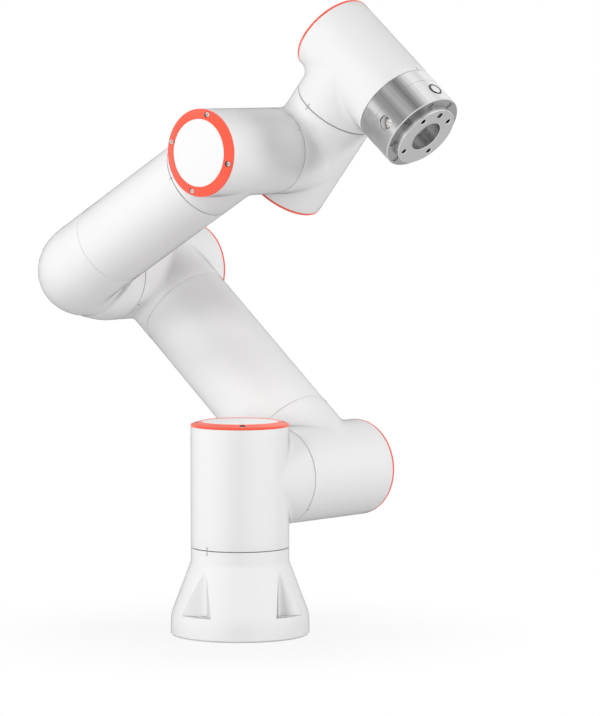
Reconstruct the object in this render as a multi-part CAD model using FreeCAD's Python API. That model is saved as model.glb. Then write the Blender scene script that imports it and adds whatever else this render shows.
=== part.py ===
import FreeCAD, Part
import math
import os

# A six-joint collaborative robot arm, in millimetres, standing on its base plate at the origin.
# +Z is the first joint's axis. The second, third and fourth joints turn about lines along Y.
# Every joint is one drive unit in a cast housing. A housing is a cylinder with a branch at a right
# angle: the cylinder holds the drive, and the branch carries the next link or the last one.

os.makedirs("parts", exist_ok=True)
V = FreeCAD.Vector

# Layout of the arm. Angles lie in the XZ plane and run from +X towards +Z.
shoulder_height = 142.0
upper_arm_length = 281.0
forearm_length = 243.0
upper_arm_offset = 116.0
forearm_offset = -3.5
wrist_step = 102.8
upper_arm_angle = 139.7
forearm_angle = 29.75
wrist_angle = 49.9

# The two sizes of joint: outer radius, branch radius, fillet between them, distances from the
# branch's centre line to the turning seam and to the cover, the cover's inner radius and its screw
# circle, then the lengths of the gear, the motor and the brake, the height of the controller board
# above the ledge that the drive stands on, and the shaft's radius.
large = {"radius": 45.4, "branch": 44.9, "blend": 7.0, "seam": 61.5, "cover": 50.5, "eye": 36.0,
         "screws": 40.5, "gear": 18.0, "motor": 28.0, "brake": 12.0, "board": 68.0, "shaft": 11.0}
small = {"radius": 40.4, "branch": 39.6, "blend": 10.0, "seam": 53.5, "cover": 44.5, "eye": 31.0,
         "screws": 36.0, "gear": 15.0, "motor": 24.0, "brake": 10.0, "board": 58.0, "shaft": 10.0}
wall = 4.0
seam_gap = 1.0
running_gap = 0.3
bearing_gap = 0.06
ledge_height = 14.0
opening_step = 9.4
web = 6.0
cable_hole = 12.0
lug_radius = 4.0
lug_length = 10.0

# Inside a drive: how far each part's inner edge stands in from the housing's bore, then thicknesses
gear_depth = 11.0
cup_depth = 11.5
generator_depth = 15.5
stator_depth = 16.0
drum_depth = 16.4
stator_gap = 0.5
cup_wall = 3.0
cup_floor = 4.0
shaft_wall = 3.0
shaft_start = 5.0
board_thickness = 1.6
board_margin = 3.0
pillar_radius = 2.0
pillar_inset = 8.0
clearance = 2.0
seam_depth = 1.6

# Links between housings
upper_arm_lower_seam = 55.0
upper_arm_upper_seam = 228.0
forearm_lower_seam = 62.0
forearm_upper_seam = 195.0
elbow_bend = 27.0
elbow_radius = 39.6
spigot_length = 12.0

# Cover of a joint
rim_height = 2.0
ring_height = 4.6
cover_height = 4.15
rebate = 2.0
rebate_height = 1.5
screw_head_radius = 2.4
screw_radius = 1.5
screw_seat = 1.2
screw_length = 9.0
key_size = 2.5
key_depth = 1.3
slack = 0.1

# Base
base_radius = 64.0
base_edge = 1.5
cone_foot = 18.1
cone_top = 67.6
foot_round = 40.0
top_round = 10.0
cavity_radius = 38.0
cavity_top = 72.0
plate_radius = 43.0
plate_thickness = 3.0
plate_recess = 3.5
pocket_floor = 20.9
pocket_corner = 47.1
pocket_half_width = 18.3
pocket_mouth = 60.5
pocket_round = 4.3
mount_circle = 112.0
mount_hole_radius = 3.3
plate_screw_circle = 40.5
plate_screw_length = 6.0
plate_screw_head = 2.2
plate_hole_depth = 8.0

# Cable socket, with distances from the base's axis
socket_angle = 135.0
socket_height = 34.0
socket_hole = 11.0
socket_seat = 56.0
socket_spotface = 13.0
socket_sleeve = 10.8
socket_inside = 8.2
socket_back = 48.0
socket_back_bore = 6.0
socket_floor = 50.0
socket_collar = 12.5
socket_collar_end = 58.0
socket_mouth = 61.0
socket_insert_radius = 8.1
socket_insert_end = 52.0
socket_pin_count = 6
socket_pin_circle = 5.0
socket_pin_radius = 0.8
socket_pin_end = 54.5

# Tool end, measured along the last joint's axis from the crossing of the last two axes
tool_radius = 40.0
tool_split = 67.4
tool_front = 94.0
tool_lip = 39.3
tool_chamfer = 0.7
tool_core = 33.0
tool_back = 74.0
flange_reach = 100.0
flange_radius = 31.5
flange_edge = 0.5
flange_boss = 29.0
flange_back = 80.0
pilot_radius = 15.75
pilot_floor = 84.0
flange_circle = 50.0
thread_radius = 2.5
thread_mouth = 3.2
thread_depth = 12.0
dowel_radius = 3.0
dowel_depth = 8.0
front_screw_circle = 34.5
front_screws = 8
front_seat_depth = 1.8
front_seat_radius = 2.2
front_head_radius = 2.0
front_head_height = 1.7
front_key_size = 1.6
front_key_depth = 1.0
front_shank_radius = 1.25
front_shank_length = 7.0
front_hole_radius = 1.35
front_hole_depth = 10.0

# Fittings in the side of the tool end, with distances from the last joint's axis
fitting_reach = 80.0
button_side = 90.0
button_radius = 5.0
button_back = 35.0
button_collar = 5.8
button_collar_end = 36.6
button_edge = 40.2
button_top = 40.5
bezel_radius = 6.5
bezel_bore = 6.1
bezel_eye = 5.3
bezel_floor = 33.2
bezel_lip = 36.9
bezel_top = 40.3
connector_side = 180.0
connector_radius = 7.2
connector_floor = 30.5
connector_sleeve = 7.0
connector_inside = 5.7
connector_mouth = 38.5
insert_radius = 5.6
insert_end = 32.5
contact_count = 7
contact_circle = 3.6
contact_radius = 0.5
contact_end = 34.5


def direction(angle):
    """Unit vector in the XZ plane."""
    turn = math.radians(angle)
    return V(math.cos(turn), 0, math.sin(turn))


def placed(shape, origin, up, out):
    """The shape moved so that its own Z runs along up and its own X along out."""
    side = up.cross(out)
    matrix = FreeCAD.Matrix(out.x, side.x, up.x, origin.x, out.y, side.y, up.y, origin.y,
                            out.z, side.z, up.z, origin.z, 0, 0, 0, 1)
    moved = shape.copy()
    moved.Placement = FreeCAD.Placement(matrix).multiply(shape.Placement)
    return moved


def rod(radius, low, high, at=(0, 0)):
    """Cylinder along Z between two heights."""
    return Part.makeCylinder(radius, high - low, V(at[0], at[1], low))


def ring(inner, outer, low, high):
    """Tube along Z between two heights."""
    return rod(outer, low, high).cut(rod(inner, low - 1, high + 1))


def side_rod(radius, near, far, height=0.0):
    """Cylinder along X between two distances."""
    return Part.makeCylinder(radius, far - near, V(near, 0, height), V(1, 0, 0))


def turned(points):
    """Solid turned about Z from a closed outline of (radius, height) points."""
    outline = Part.makePolygon([V(r, 0, z) for r, z in points + points[:1]])
    return Part.Face(outline).revolve(V(0, 0, 0), V(0, 0, 1), 360)


def round_places(count, circle_radius, first):
    """Evenly spaced points on a circle."""
    places = []
    for index in range(count):
        turn = math.radians(first + index * 360.0 / count)
        places.append((circle_radius * math.cos(turn), circle_radius * math.sin(turn)))
    return places


def hexagon(across, low, high, at):
    """Hexagonal prism, for a key socket."""
    corner = across / math.sqrt(3)
    corners = [V(at[0] + x, at[1] + y, low) for x, y in round_places(6, corner, 0)]
    return Part.Face(Part.makePolygon(corners + corners[:1])).extrude(V(0, 0, high - low))


def screw(at, seat, head_radius, shank_radius, head_height, length):
    """Socket-head screw whose head stands on the seat and whose shank goes down."""
    body = rod(head_radius, seat, seat + head_height, at).fuse(rod(shank_radius, seat - length, seat, at))
    return body.cut(hexagon(key_size, seat + head_height - key_depth, seat + head_height + 1, at))


def save(name, shape):
    """Writes one sub-part."""
    shape.exportStep("parts/" + name + ".step")


# Housings and drives, in the joint's own frame: Z towards the cover, X along the branch

def ledge(size):
    """Height of the ledge that the drive stands on."""
    return ledge_height - size["seam"]


def bore(size):
    """Radius of the housing's bore."""
    return size["radius"] - wall


def housing(size, branch_length, closed):
    """Cast housing: cylinder and branch with a filleted crossing, hollow, with four cover lugs."""
    low = seam_gap / 2 - size["seam"]
    high = size["cover"]
    outside = rod(size["radius"], low, high).fuse(side_rod(size["branch"], 0, branch_length))
    outside = outside.removeSplitter()
    crossing = [e for e in outside.Edges if e.BoundBox.XMin > 0 and e.BoundBox.XMax < branch_length - 1]
    outside = outside.makeFillet(size["blend"], crossing)
    branch_bore = size["branch"] - wall
    hollow = rod(bore(size), ledge(size), high + 1)
    hollow = hollow.fuse(rod(bore(size) - opening_step + wall, low - 1, ledge(size) + 1))
    if closed:
        hollow = hollow.fuse(side_rod(branch_bore, 0, branch_length - web))
        hollow = hollow.fuse(side_rod(cable_hole, 0, branch_length + 1))
    else:
        hollow = hollow.fuse(side_rod(branch_bore, 0, branch_length + 1))
    shell = outside.cut(hollow)
    inside = rod(size["radius"] - 1, low, high)
    for at in round_places(4, size["screws"], 45):
        lug = rod(lug_radius, high - lug_length, high, at).common(inside)
        shell = shell.fuse(lug)
    for at in round_places(4, size["screws"], 45):
        shell = shell.cut(rod(screw_radius + slack, high - lug_length - 1, high + 1, at))
    return shell


def drive(size):
    """Fixed parts of a joint's drive: gear ring, motor stator, brake plate and controller board."""
    start = ledge(size)
    outer = bore(size) - stator_gap
    motor_start = start + size["gear"]
    brake_start = motor_start + size["motor"]
    brake_end = brake_start + size["brake"]
    board = start + size["board"]
    pieces = [ring(bore(size) - gear_depth, outer, start, motor_start)]
    pieces.append(ring(bore(size) - stator_depth, outer, motor_start, brake_start))
    pieces.append(ring(size["shaft"] + bearing_gap, outer - clearance, brake_start, brake_end))
    for at in round_places(3, outer - pillar_inset, 90):
        pieces.append(rod(pillar_radius, brake_end, board, at))
    pieces.append(ring(size["shaft"] + clearance, outer - board_margin, board, board + board_thickness))
    return Part.makeCompound(pieces)


def rotor(size):
    """Turning part of a drive: hollow shaft with the wave generator and the magnet drum on it."""
    low = ledge(size) + shaft_start
    shaft = size["shaft"]
    inside = shaft - shaft_wall
    generator = bore(size) - generator_depth
    drum = bore(size) - drum_depth
    gear_end = ledge(size) + size["gear"]
    drum_start = gear_end + clearance
    drum_end = gear_end + size["motor"] - clearance
    generator_end = gear_end - 2 * clearance
    top = ledge(size) + size["board"] - board_margin
    return turned([(inside, low), (generator, low), (generator, generator_end), (shaft, generator_end),
                   (shaft, drum_start), (drum, drum_start), (drum, drum_end), (shaft, drum_end),
                   (shaft, top), (inside, top)])


def output_flange(size):
    """Flange that the drive turns: rim in the seam, hub through the opening and the gear's cup."""
    low = -size["seam"] - seam_gap / 2
    rim = size["radius"] - seam_depth
    rim_top = seam_gap / 2 - size["seam"] - running_gap
    hub = bore(size) - cup_depth
    cup_bottom = ledge(size) + cup_floor
    cup_end = ledge(size) + size["gear"] - clearance
    return turned([(cable_hole, low), (rim, low), (rim, rim_top), (hub, rim_top), (hub, cup_end),
                   (hub - cup_wall, cup_end), (hub - cup_wall, cup_bottom), (cable_hole, cup_bottom)])


def cover_ring(size):
    """Coloured ring on the housing's end: short upright rim, then a face that rises to the eye."""
    low = size["cover"]
    eye = size["eye"]
    body = turned([(eye + rebate, low), (size["radius"], low), (size["radius"], low + rim_height),
                   (eye, low + ring_height), (eye, low + rebate_height),
                   (eye + rebate, low + rebate_height)])
    for at in round_places(4, size["screws"], 45):
        body = body.cut(rod(screw_head_radius + running_gap, low + screw_seat, low + ring_height, at))
        body = body.cut(rod(screw_radius + slack, low - 1, low + ring_height, at))
    return body


def cover(size):
    """Round cover held under the ring, set a little below the ring's inner edge."""
    low = size["cover"]
    eye = size["eye"]
    brim = eye + rebate - 2 * slack
    step = low + rebate_height - slack
    return turned([(0, low), (brim, low), (brim, step), (eye - slack, step),
                   (eye - slack, low + cover_height), (0, low + cover_height)])


def cover_screws(size):
    """Four socket-head screws through the ring into the housing's lugs."""
    seat = size["cover"] + screw_seat
    screws = [screw(at, seat, screw_head_radius, screw_radius, screw_head_radius, screw_length)
              for at in round_places(4, size["screws"], 45)]
    return Part.makeCompound(screws)


def link_tube(radius, start, end):
    """Tube between two housings, along X, with a spigot into each."""
    body = side_rod(radius, start, end)
    body = body.fuse(side_rod(radius - wall - running_gap, start - spigot_length, end + spigot_length))
    return body.cut(side_rod(radius - 2 * wall, start - spigot_length - 1, end + spigot_length + 1))


# The base

def base_outline():
    """Half section of the base's outside, with rounded foot and neck."""
    top = shoulder_height - large["seam"] - seam_gap / 2
    neck = large["radius"]
    slope = math.atan2(base_radius - neck, cone_top - cone_foot)
    foot = foot_round * math.tan(slope / 2)
    head = top_round * math.tan(slope / 2)
    down = V(math.sin(slope), 0, -math.cos(slope))
    low_corner = V(base_radius, 0, cone_foot)
    high_corner = V(neck, 0, cone_top)
    inward = V(-math.cos(slope / 2), 0, -math.sin(slope / 2))
    low_middle = low_corner + inward * (foot_round / math.cos(slope / 2) - foot_round)
    high_middle = high_corner - inward * (top_round / math.cos(slope / 2) - top_round)
    foot_start = low_corner + V(0, 0, -foot)
    foot_end = low_corner - down * foot
    head_start = high_corner + down * head
    head_end = high_corner + V(0, 0, head)
    edges = [Part.makeLine(V(0, 0, 0), V(base_radius - base_edge, 0, 0)),
             Part.makeLine(V(base_radius - base_edge, 0, 0), V(base_radius, 0, base_edge)),
             Part.makeLine(V(base_radius, 0, base_edge), foot_start),
             Part.Arc(foot_start, low_middle, foot_end).toShape(),
             Part.makeLine(foot_end, head_start),
             Part.Arc(head_start, high_middle, head_end).toShape(),
             Part.makeLine(head_end, V(neck, 0, top)),
             Part.makeLine(V(neck, 0, top), V(0, 0, top)),
             Part.makeLine(V(0, 0, top), V(0, 0, 0))]
    return Part.Face(Part.Wire(edges))


def bolt_pocket():
    """Upright wedge that opens outwards, cut into the cone above one mounting hole."""
    far = 2 * pocket_mouth - pocket_corner
    wide = 2 * pocket_half_width
    corners = [V(pocket_corner, 0, pocket_floor), V(far, wide, pocket_floor), V(far, -wide, pocket_floor)]
    wedge = Part.Face(Part.makePolygon(corners + corners[:1])).extrude(V(0, 0, cone_top))
    corner = [e for e in wedge.Edges if e.BoundBox.XMax < pocket_corner + 1]
    return wedge.makeFillet(pocket_round, corner)


def socket_place(shape):
    """Moves a shape with its Z axis pointing out of the base at the cable socket."""
    turn = math.radians(socket_angle)
    outwards = V(math.cos(turn), math.sin(turn), 0)
    return placed(shape, V(0, 0, socket_height), outwards, V(0, 0, 1))


def base_casting():
    """Conical foot with four bolt pockets, a cavity, a cable socket hole and a flange at the top."""
    body = base_outline().revolve(V(0, 0, 0), V(0, 0, 1), 360)
    body = body.cut(rod(cavity_radius, -1, cavity_top))
    body = body.cut(rod(plate_radius + 2 * slack, -1, plate_recess))
    body = body.cut(rod(cable_hole, cavity_top - 1, shoulder_height))
    for quarter in range(4):
        pocket = bolt_pocket()
        pocket.rotate(V(0, 0, 0), V(0, 0, 1), 90 * quarter)
        body = body.cut(pocket)
    for at in round_places(4, mount_circle / 2, 0):
        body = body.cut(rod(mount_hole_radius, -1, pocket_floor + 1, at))
    for at in round_places(4, plate_screw_circle, 45):
        body = body.cut(rod(screw_radius + slack, 0, plate_recess + plate_hole_depth, at))
    body = body.cut(socket_place(rod(socket_hole, cavity_radius - wall, base_radius)))
    return body.cut(socket_place(rod(socket_spotface, socket_seat, base_radius)))


def base_plate():
    """Round plate that closes the base from below."""
    body = rod(plate_radius, plate_recess - plate_thickness, plate_recess)
    for at in round_places(4, plate_screw_circle, 45):
        body = body.cut(rod(screw_radius + slack, 0, plate_recess + 1, at))
    return body


def base_plate_screws():
    """Four screws that hold the base plate, with flat heads under it."""
    low = plate_recess - plate_thickness
    screws = []
    for at in round_places(4, plate_screw_circle, 45):
        shank = rod(screw_radius, low, plate_recess + plate_screw_length, at)
        screws.append(shank.fuse(rod(plate_screw_head, slack, low, at)))
    return Part.makeCompound(screws)


def socket_shell():
    """Threaded metal shell of the cable socket, with a collar on the casting."""
    return socket_place(turned([(socket_back_bore, socket_back), (socket_sleeve, socket_back),
                                (socket_sleeve, socket_seat), (socket_collar, socket_seat),
                                (socket_collar, socket_collar_end), (socket_sleeve, socket_collar_end),
                                (socket_sleeve, socket_mouth), (socket_inside, socket_mouth),
                                (socket_inside, socket_floor), (socket_back_bore, socket_floor)]))


def socket_insert():
    """Moulded insert in the cable socket."""
    return socket_place(rod(socket_insert_radius, socket_floor, socket_insert_end))


def socket_pins():
    """Contact pins of the cable socket."""
    pins = [rod(socket_pin_radius, socket_insert_end, socket_pin_end, at)
            for at in round_places(socket_pin_count, socket_pin_circle, 0)]
    return socket_place(Part.makeCompound(pins))


# The elbow, in its own frame: X along the forearm, Z along the third joint's axis

def elbow_solid(radius, end_radius, far, high):
    """Pipe bend from X to Z with a forearm stub and a boss that widens to its end."""
    centre = V(elbow_bend, 0, elbow_bend)
    circle = Part.Face(Part.Wire(Part.makeCircle(radius, V(elbow_bend, 0, 0), V(1, 0, 0))))
    outer_side = Part.makeBox(2, 200, 200, V(elbow_bend - 1, -100, elbow_bend - 200))
    section = circle.common(outer_side)
    bend = section.revolve(centre, V(0, 1, 0), 90)
    stub = side_rod(radius, elbow_bend, far)
    boss = Part.makeCone(radius, end_radius, high - elbow_bend, V(0, 0, elbow_bend))
    return bend.fuse(stub).fuse(boss).removeSplitter()


def elbow_casting():
    """Hollow elbow between the third joint and the forearm tube."""
    high = upper_arm_offset - large["seam"] - seam_gap / 2 - forearm_offset
    outside = elbow_solid(elbow_radius, large["branch"], forearm_lower_seam, high)
    inside = elbow_solid(elbow_radius - wall, large["branch"] - wall, forearm_lower_seam + 1, high - web)
    return outside.cut(inside).cut(rod(cable_hole, 0, high + 1))


# The tool end, in its own frame: Z along the last joint's axis, X along world Y

def tool_rear_ring():
    """Metal ring bolted to the last drive's flange."""
    start = small["seam"] + seam_gap / 2
    return turned([(cable_hole, start), (tool_radius, start), (tool_radius, tool_split),
                   (tool_core, tool_split), (tool_core, start + web), (cable_hole, start + web)])


def radial(shape, angle, reach):
    """Moves a shape so that its Z axis leaves the tool body sideways at an angle."""
    turn = math.radians(angle)
    outwards = V(math.cos(turn), math.sin(turn), 0)
    return placed(shape, V(0, 0, reach), outwards, V(0, 0, 1))


def tool_body():
    """Metal body of the tool end, with the flange recess, button pocket and connector recess."""
    recess = flange_boss + 2 * slack
    body = turned([(0, tool_back), (tool_core, tool_back), (tool_core, tool_split),
                   (tool_radius, tool_split), (tool_radius, tool_front - tool_chamfer),
                   (tool_lip, tool_front), (recess, tool_front), (recess, flange_back), (0, flange_back)])
    for at in round_places(front_screws, front_screw_circle, 180.0 / front_screws):
        body = body.cut(rod(front_seat_radius, tool_front - front_seat_depth, tool_front + 1, at))
        body = body.cut(rod(front_hole_radius, tool_front - front_hole_depth, tool_front, at))
    button_pocket = rod(bezel_radius + slack, bezel_floor, tool_radius + 1)
    connector_recess = rod(connector_radius, connector_floor, tool_radius + 1)
    body = body.cut(radial(button_pocket, button_side, fitting_reach))
    return body.cut(radial(connector_recess, connector_side, fitting_reach))


def tool_body_screws():
    """Small screws round the front of the tool body."""
    seat = tool_front - front_seat_depth
    top = seat + front_head_height
    screws = []
    for at in round_places(front_screws, front_screw_circle, 180.0 / front_screws):
        head = rod(front_head_radius, seat, top, at)
        head = head.cut(hexagon(front_key_size, top - front_key_depth, top + 1, at))
        screws.append(head.fuse(rod(front_shank_radius, seat - front_shank_length, seat, at)))
    return Part.makeCompound(screws)


def tool_flange():
    """Mounting flange: pilot bore, four threaded holes and one dowel hole on a 50 mm circle."""
    body = turned([(0, flange_back), (flange_boss, flange_back), (flange_boss, tool_front),
                   (flange_radius, tool_front), (flange_radius, flange_reach - flange_edge),
                   (flange_radius - flange_edge, flange_reach), (pilot_radius, flange_reach),
                   (pilot_radius, pilot_floor), (0, pilot_floor)])
    mouth = flange_reach - (thread_mouth - thread_radius)
    for at in round_places(4, flange_circle / 2, 45):
        body = body.cut(rod(thread_radius, flange_reach - thread_depth, flange_reach + 1, at))
        chamfer = Part.makeCone(thread_radius, thread_mouth, flange_reach - mouth, V(at[0], at[1], mouth))
        body = body.cut(chamfer)
    for at in round_places(1, flange_circle / 2, 90):
        body = body.cut(rod(dowel_radius, flange_reach - dowel_depth, flange_reach + 1, at))
    return body


def tool_button():
    """Round button with a collar that keeps it behind the bezel."""
    body = turned([(0, button_back), (button_collar, button_back), (button_collar, button_collar_end),
                   (button_radius, button_collar_end), (button_radius, button_edge), (0, button_top)])
    return radial(body, button_side, fitting_reach)


def button_bezel():
    """Dark ring round the button, standing on the pocket's floor."""
    body = turned([(bezel_bore, bezel_floor), (bezel_radius, bezel_floor), (bezel_radius, bezel_top),
                   (bezel_eye, bezel_top), (bezel_eye, bezel_lip), (bezel_bore, bezel_lip)])
    return radial(body, button_side, fitting_reach)


def connector_shell():
    """Threaded sleeve in the connector recess."""
    body = ring(connector_inside, connector_sleeve, connector_floor, connector_mouth)
    return radial(body, connector_side, fitting_reach)


def connector_insert():
    """Moulded insert that carries the contacts."""
    return radial(rod(insert_radius, connector_floor, insert_end), connector_side, fitting_reach)


def connector_pins():
    """Eight contact pins: seven on a circle and one in the middle."""
    places = round_places(contact_count, contact_circle, 0) + [(0, 0)]
    pins = [rod(contact_radius, insert_end, contact_end, at) for at in places]
    return radial(Part.makeCompound(pins), connector_side, fitting_reach)


# Places and directions of the joints
across = V(0, 1, 0)
upright = V(0, 0, 1)
upper_arm_way = direction(upper_arm_angle)
forearm_way = direction(forearm_angle)
wrist_way = direction(wrist_angle)
tool_way = direction(wrist_angle - 90)
shoulder_point = V(0, 0, shoulder_height)
upper_arm_start = shoulder_point + across * upper_arm_offset
upper_arm_end = upper_arm_start + upper_arm_way * upper_arm_length
elbow_point = shoulder_point + upper_arm_way * upper_arm_length + across * forearm_offset
forearm_end = elbow_point + forearm_way * forearm_length
wrist_point = forearm_end + across * wrist_step
tool_point = wrist_point + wrist_way * wrist_step

# Each joint's number, size, origin, direction of its cover and direction of its branch
joints = [(1, large, shoulder_point, upright, across),
          (2, large, upper_arm_start, across, upper_arm_way),
          (3, large, upper_arm_end, across, upper_arm_way * -1),
          (4, small, forearm_end, across * -1, forearm_way * -1),
          (5, small, wrist_point, wrist_way * -1, across * -1),
          (6, small, tool_point, tool_way * -1, wrist_way * -1)]

# Each housing's name, with its branch's length and whether a web closes the branch
shoulder_branch = upper_arm_offset - large["seam"] - seam_gap / 2
wrist_branch = wrist_step - small["seam"] - seam_gap / 2
housings = [("shoulder_housing", shoulder_branch, True),
            ("upper_arm_lower_housing", upper_arm_lower_seam, False),
            ("upper_arm_upper_housing", upper_arm_length - upper_arm_upper_seam, False),
            ("forearm_wrist_housing", forearm_length - forearm_upper_seam, False),
            ("wrist_1_housing", wrist_branch, True),
            ("wrist_2_housing", wrist_branch, True)]

for (number, size, origin, up, out), (name, branch_length, closed) in zip(joints, housings):
    prefix = "joint_" + str(number) + "_"
    save(name, placed(housing(size, branch_length, closed), origin, up, out))
    save(prefix + "drive", placed(drive(size), origin, up, out))
    save(prefix + "rotor", placed(rotor(size), origin, up, out))
    save(prefix + "output_flange", placed(output_flange(size), origin, up, out))
    save(prefix + "cover_ring", placed(cover_ring(size), origin, up, out))
    save(prefix + "cover", placed(cover(size), origin, up, out))
    save(prefix + "cover_screws", placed(cover_screws(size), origin, up, out))

upper_tube = link_tube(large["branch"], upper_arm_lower_seam, upper_arm_upper_seam)
save("upper_arm_tube", placed(upper_tube, upper_arm_start, across, upper_arm_way))
lower_tube = link_tube(small["branch"], forearm_lower_seam, forearm_upper_seam)
save("forearm_tube", placed(lower_tube, elbow_point, across, forearm_way))
save("elbow_casting", placed(elbow_casting(), elbow_point, across, forearm_way))

save("base_casting", base_casting())
save("base_plate", base_plate())
save("base_plate_screws", base_plate_screws())
save("base_socket_shell", socket_shell())
save("base_socket_insert", socket_insert())
save("base_socket_pins", socket_pins())

for name, shape in [("tool_rear_ring", tool_rear_ring()), ("tool_body", tool_body()),
                    ("tool_body_screws", tool_body_screws()), ("tool_flange", tool_flange()),
                    ("tool_button", tool_button()), ("button_bezel", button_bezel()),
                    ("connector_shell", connector_shell()), ("connector_insert", connector_insert()),
                    ("connector_pins", connector_pins())]:
    save(name, placed(shape, tool_point, tool_way, across))
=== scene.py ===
import math
import bmesh
import bpy
import numpy as np
from mathutils import Matrix


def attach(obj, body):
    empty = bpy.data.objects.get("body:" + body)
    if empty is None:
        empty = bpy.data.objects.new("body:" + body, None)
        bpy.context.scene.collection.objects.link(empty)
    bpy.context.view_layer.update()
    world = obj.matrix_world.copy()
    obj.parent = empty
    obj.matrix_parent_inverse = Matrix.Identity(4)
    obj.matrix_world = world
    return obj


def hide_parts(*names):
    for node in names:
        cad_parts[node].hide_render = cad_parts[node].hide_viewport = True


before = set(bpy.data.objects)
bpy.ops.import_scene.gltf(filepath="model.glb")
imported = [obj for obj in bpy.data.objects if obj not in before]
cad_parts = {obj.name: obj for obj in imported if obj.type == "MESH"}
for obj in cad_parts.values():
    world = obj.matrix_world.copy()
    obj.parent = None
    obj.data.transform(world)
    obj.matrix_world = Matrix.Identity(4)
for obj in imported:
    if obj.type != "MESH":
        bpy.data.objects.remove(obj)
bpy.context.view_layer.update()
print("frame loaded")

# Places of the arm's joints, in millimetres and degrees, as in the part's source
arm = {"shoulderHeight": 142.0, "upperLength": 281.0, "foreLength": 243.0, "upperOffset": 116.0,
       "foreOffset": -3.5, "wristStep": 102.8, "upperAngle": 139.7, "foreAngle": 29.75, "wristAngle": 49.9}

# The two sizes of joint casting, in millimetres
bigJoint = {"radius": 45.4, "seam": 61.5, "cover": 50.5, "eye": 36.0, "screwCircle": 40.5, "blend": 8.0}
slimJoint = {"radius": 40.0, "seam": 53.5, "cover": 44.5, "eye": 31.0, "screwCircle": 36.0, "blend": 10.0}


def inPlane(angle):
    # unit vector (cos a, 0, sin a) in the plane that the arm swings in
    turn = math.radians(angle)
    return np.array([math.cos(turn), 0.0, math.sin(turn)])


def placeOf(origin, up, out):
    # a piece's own X goes to out, Z to up and Y to up x out; then the origin is added
    up, out = np.array(up, float), np.array(out, float)
    return np.stack([out, np.cross(up, out), up], 1), np.array(origin, float)


def within(outer, inner):
    # a place inside a place: turns multiply, and the inner shift is turned before it is added
    return outer[0] @ inner[0], outer[0] @ inner[1] + outer[1]


quarter, fullTurn = math.pi / 2, 2 * math.pi
across = np.array([0.0, 1.0, 0.0])
upright = np.array([0.0, 0.0, 1.0])
home = placeOf((0, 0, 0), upright, (1, 0, 0))
turnedOver = placeOf((0, 0, 0), -upright, (1, 0, 0))
upperWay, foreWay = inPlane(arm["upperAngle"]), inPlane(arm["foreAngle"])
wristWay, toolWay = inPlane(arm["wristAngle"]), inPlane(arm["wristAngle"] - 90)
shoulderPoint = upright * arm["shoulderHeight"]
upperStart = shoulderPoint + across * arm["upperOffset"]
upperEnd = upperStart + upperWay * arm["upperLength"]
elbowPoint = shoulderPoint + upperWay * arm["upperLength"] + across * arm["foreOffset"]
foreEnd = elbowPoint + foreWay * arm["foreLength"]
wristPoint = foreEnd + across * arm["wristStep"]
toolPoint = wristPoint + wristWay * arm["wristStep"]

# Each joint's body, size and place: Z towards its cover, X along its branch
jointPlaces = [("shoulder", bigJoint, placeOf(shoulderPoint, upright, across)),
               ("upper_arm", bigJoint, placeOf(upperStart, across, upperWay)),
               ("upper_arm", bigJoint, placeOf(upperEnd, across, -upperWay)),
               ("forearm", slimJoint, placeOf(foreEnd, -across, -foreWay)),
               ("wrist_1", slimJoint, placeOf(wristPoint, -wristWay, -across)),
               ("wrist_2", slimJoint, placeOf(toolPoint, -toolWay, -wristWay))]
toolPlace = placeOf(toolPoint, toolWay, across)


def tone(level):
    # a colour with alpha 1, from one grey level or from three levels
    return (*np.broadcast_to(level, 3), 1.0)


def newMaterial(name):
    # an empty paint: gives the material, its node tree and its shader
    material = bpy.data.materials.new(name)
    material.use_nodes = True
    return material, material.node_tree, material.node_tree.nodes["Principled BSDF"]


def newGroup(name, inputs):
    # a node group with an input for each given value; it puts out colour, roughness and height
    group = bpy.data.node_groups.new(name, "ShaderNodeTree")
    kinds = {1: "NodeSocketFloat", 3: "NodeSocketVector", 4: "NodeSocketColor"}
    for label, value in inputs.items():
        kind = kinds[np.size(value)]
        group.interface.new_socket(label, in_out="INPUT", socket_type=kind).default_value = value
    for label, size in (("Color", 4), ("Roughness", 1), ("Height", 1)):
        group.interface.new_socket(label, in_out="OUTPUT", socket_type=kinds[size])
    return group, group.nodes.new("NodeGroupInput").outputs, group.nodes.new("NodeGroupOutput")


def feed(tree, node, values):
    # each value goes to the input of its name or number: linked if it is an output, else set
    for key, value in values.items():
        if isinstance(value, bpy.types.NodeSocket):
            tree.links.new(value, node.inputs[key])
        else:
            node.inputs[key].default_value = value


def addNode(tree, kind, values=None, **settings):
    # a node with its own settings and with its inputs fed
    node = tree.nodes.new(kind)
    for key, value in settings.items():
        setattr(node, key, value)
    feed(tree, node, values or {})
    return node


def mixColors(tree, factor, first, second):
    # (1 - f) * first + f * second
    return addNode(tree, "ShaderNodeMix", {0: factor, 6: first, 7: second}, data_type="RGBA").outputs[2]


def ranged(tree, value, low, high, newLow, newHigh):
    # the value's stretch from low to high, laid over newLow to newHigh
    stretch = {0: value, 1: low, 2: high, 3: newLow, 4: newHigh}
    return addNode(tree, "ShaderNodeMapRange", stretch).outputs[0]


def combine(tree, operation, first, second=0.0):
    # one step of arithmetic on one or two numbers
    return addNode(tree, "ShaderNodeMath", {0: first, 1: second}, operation=operation).outputs[0]


def noiseOf(tree, where, scale, detail=3.0, roughness=0.5):
    # soft random values from 0 to 1 over the given coordinates
    values = {"Vector": where, "Scale": scale, "Detail": detail, "Roughness": roughness}
    return addNode(tree, "ShaderNodeTexNoise", values).outputs["Fac"]


def markOf(tree, name):
    # the mark of that name on a mesh's points: edges from buildPiece, or the painted shade laid into pits
    # and gaps
    return addNode(tree, "ShaderNodeAttribute", attribute_name=name).outputs["Fac"]
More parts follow.
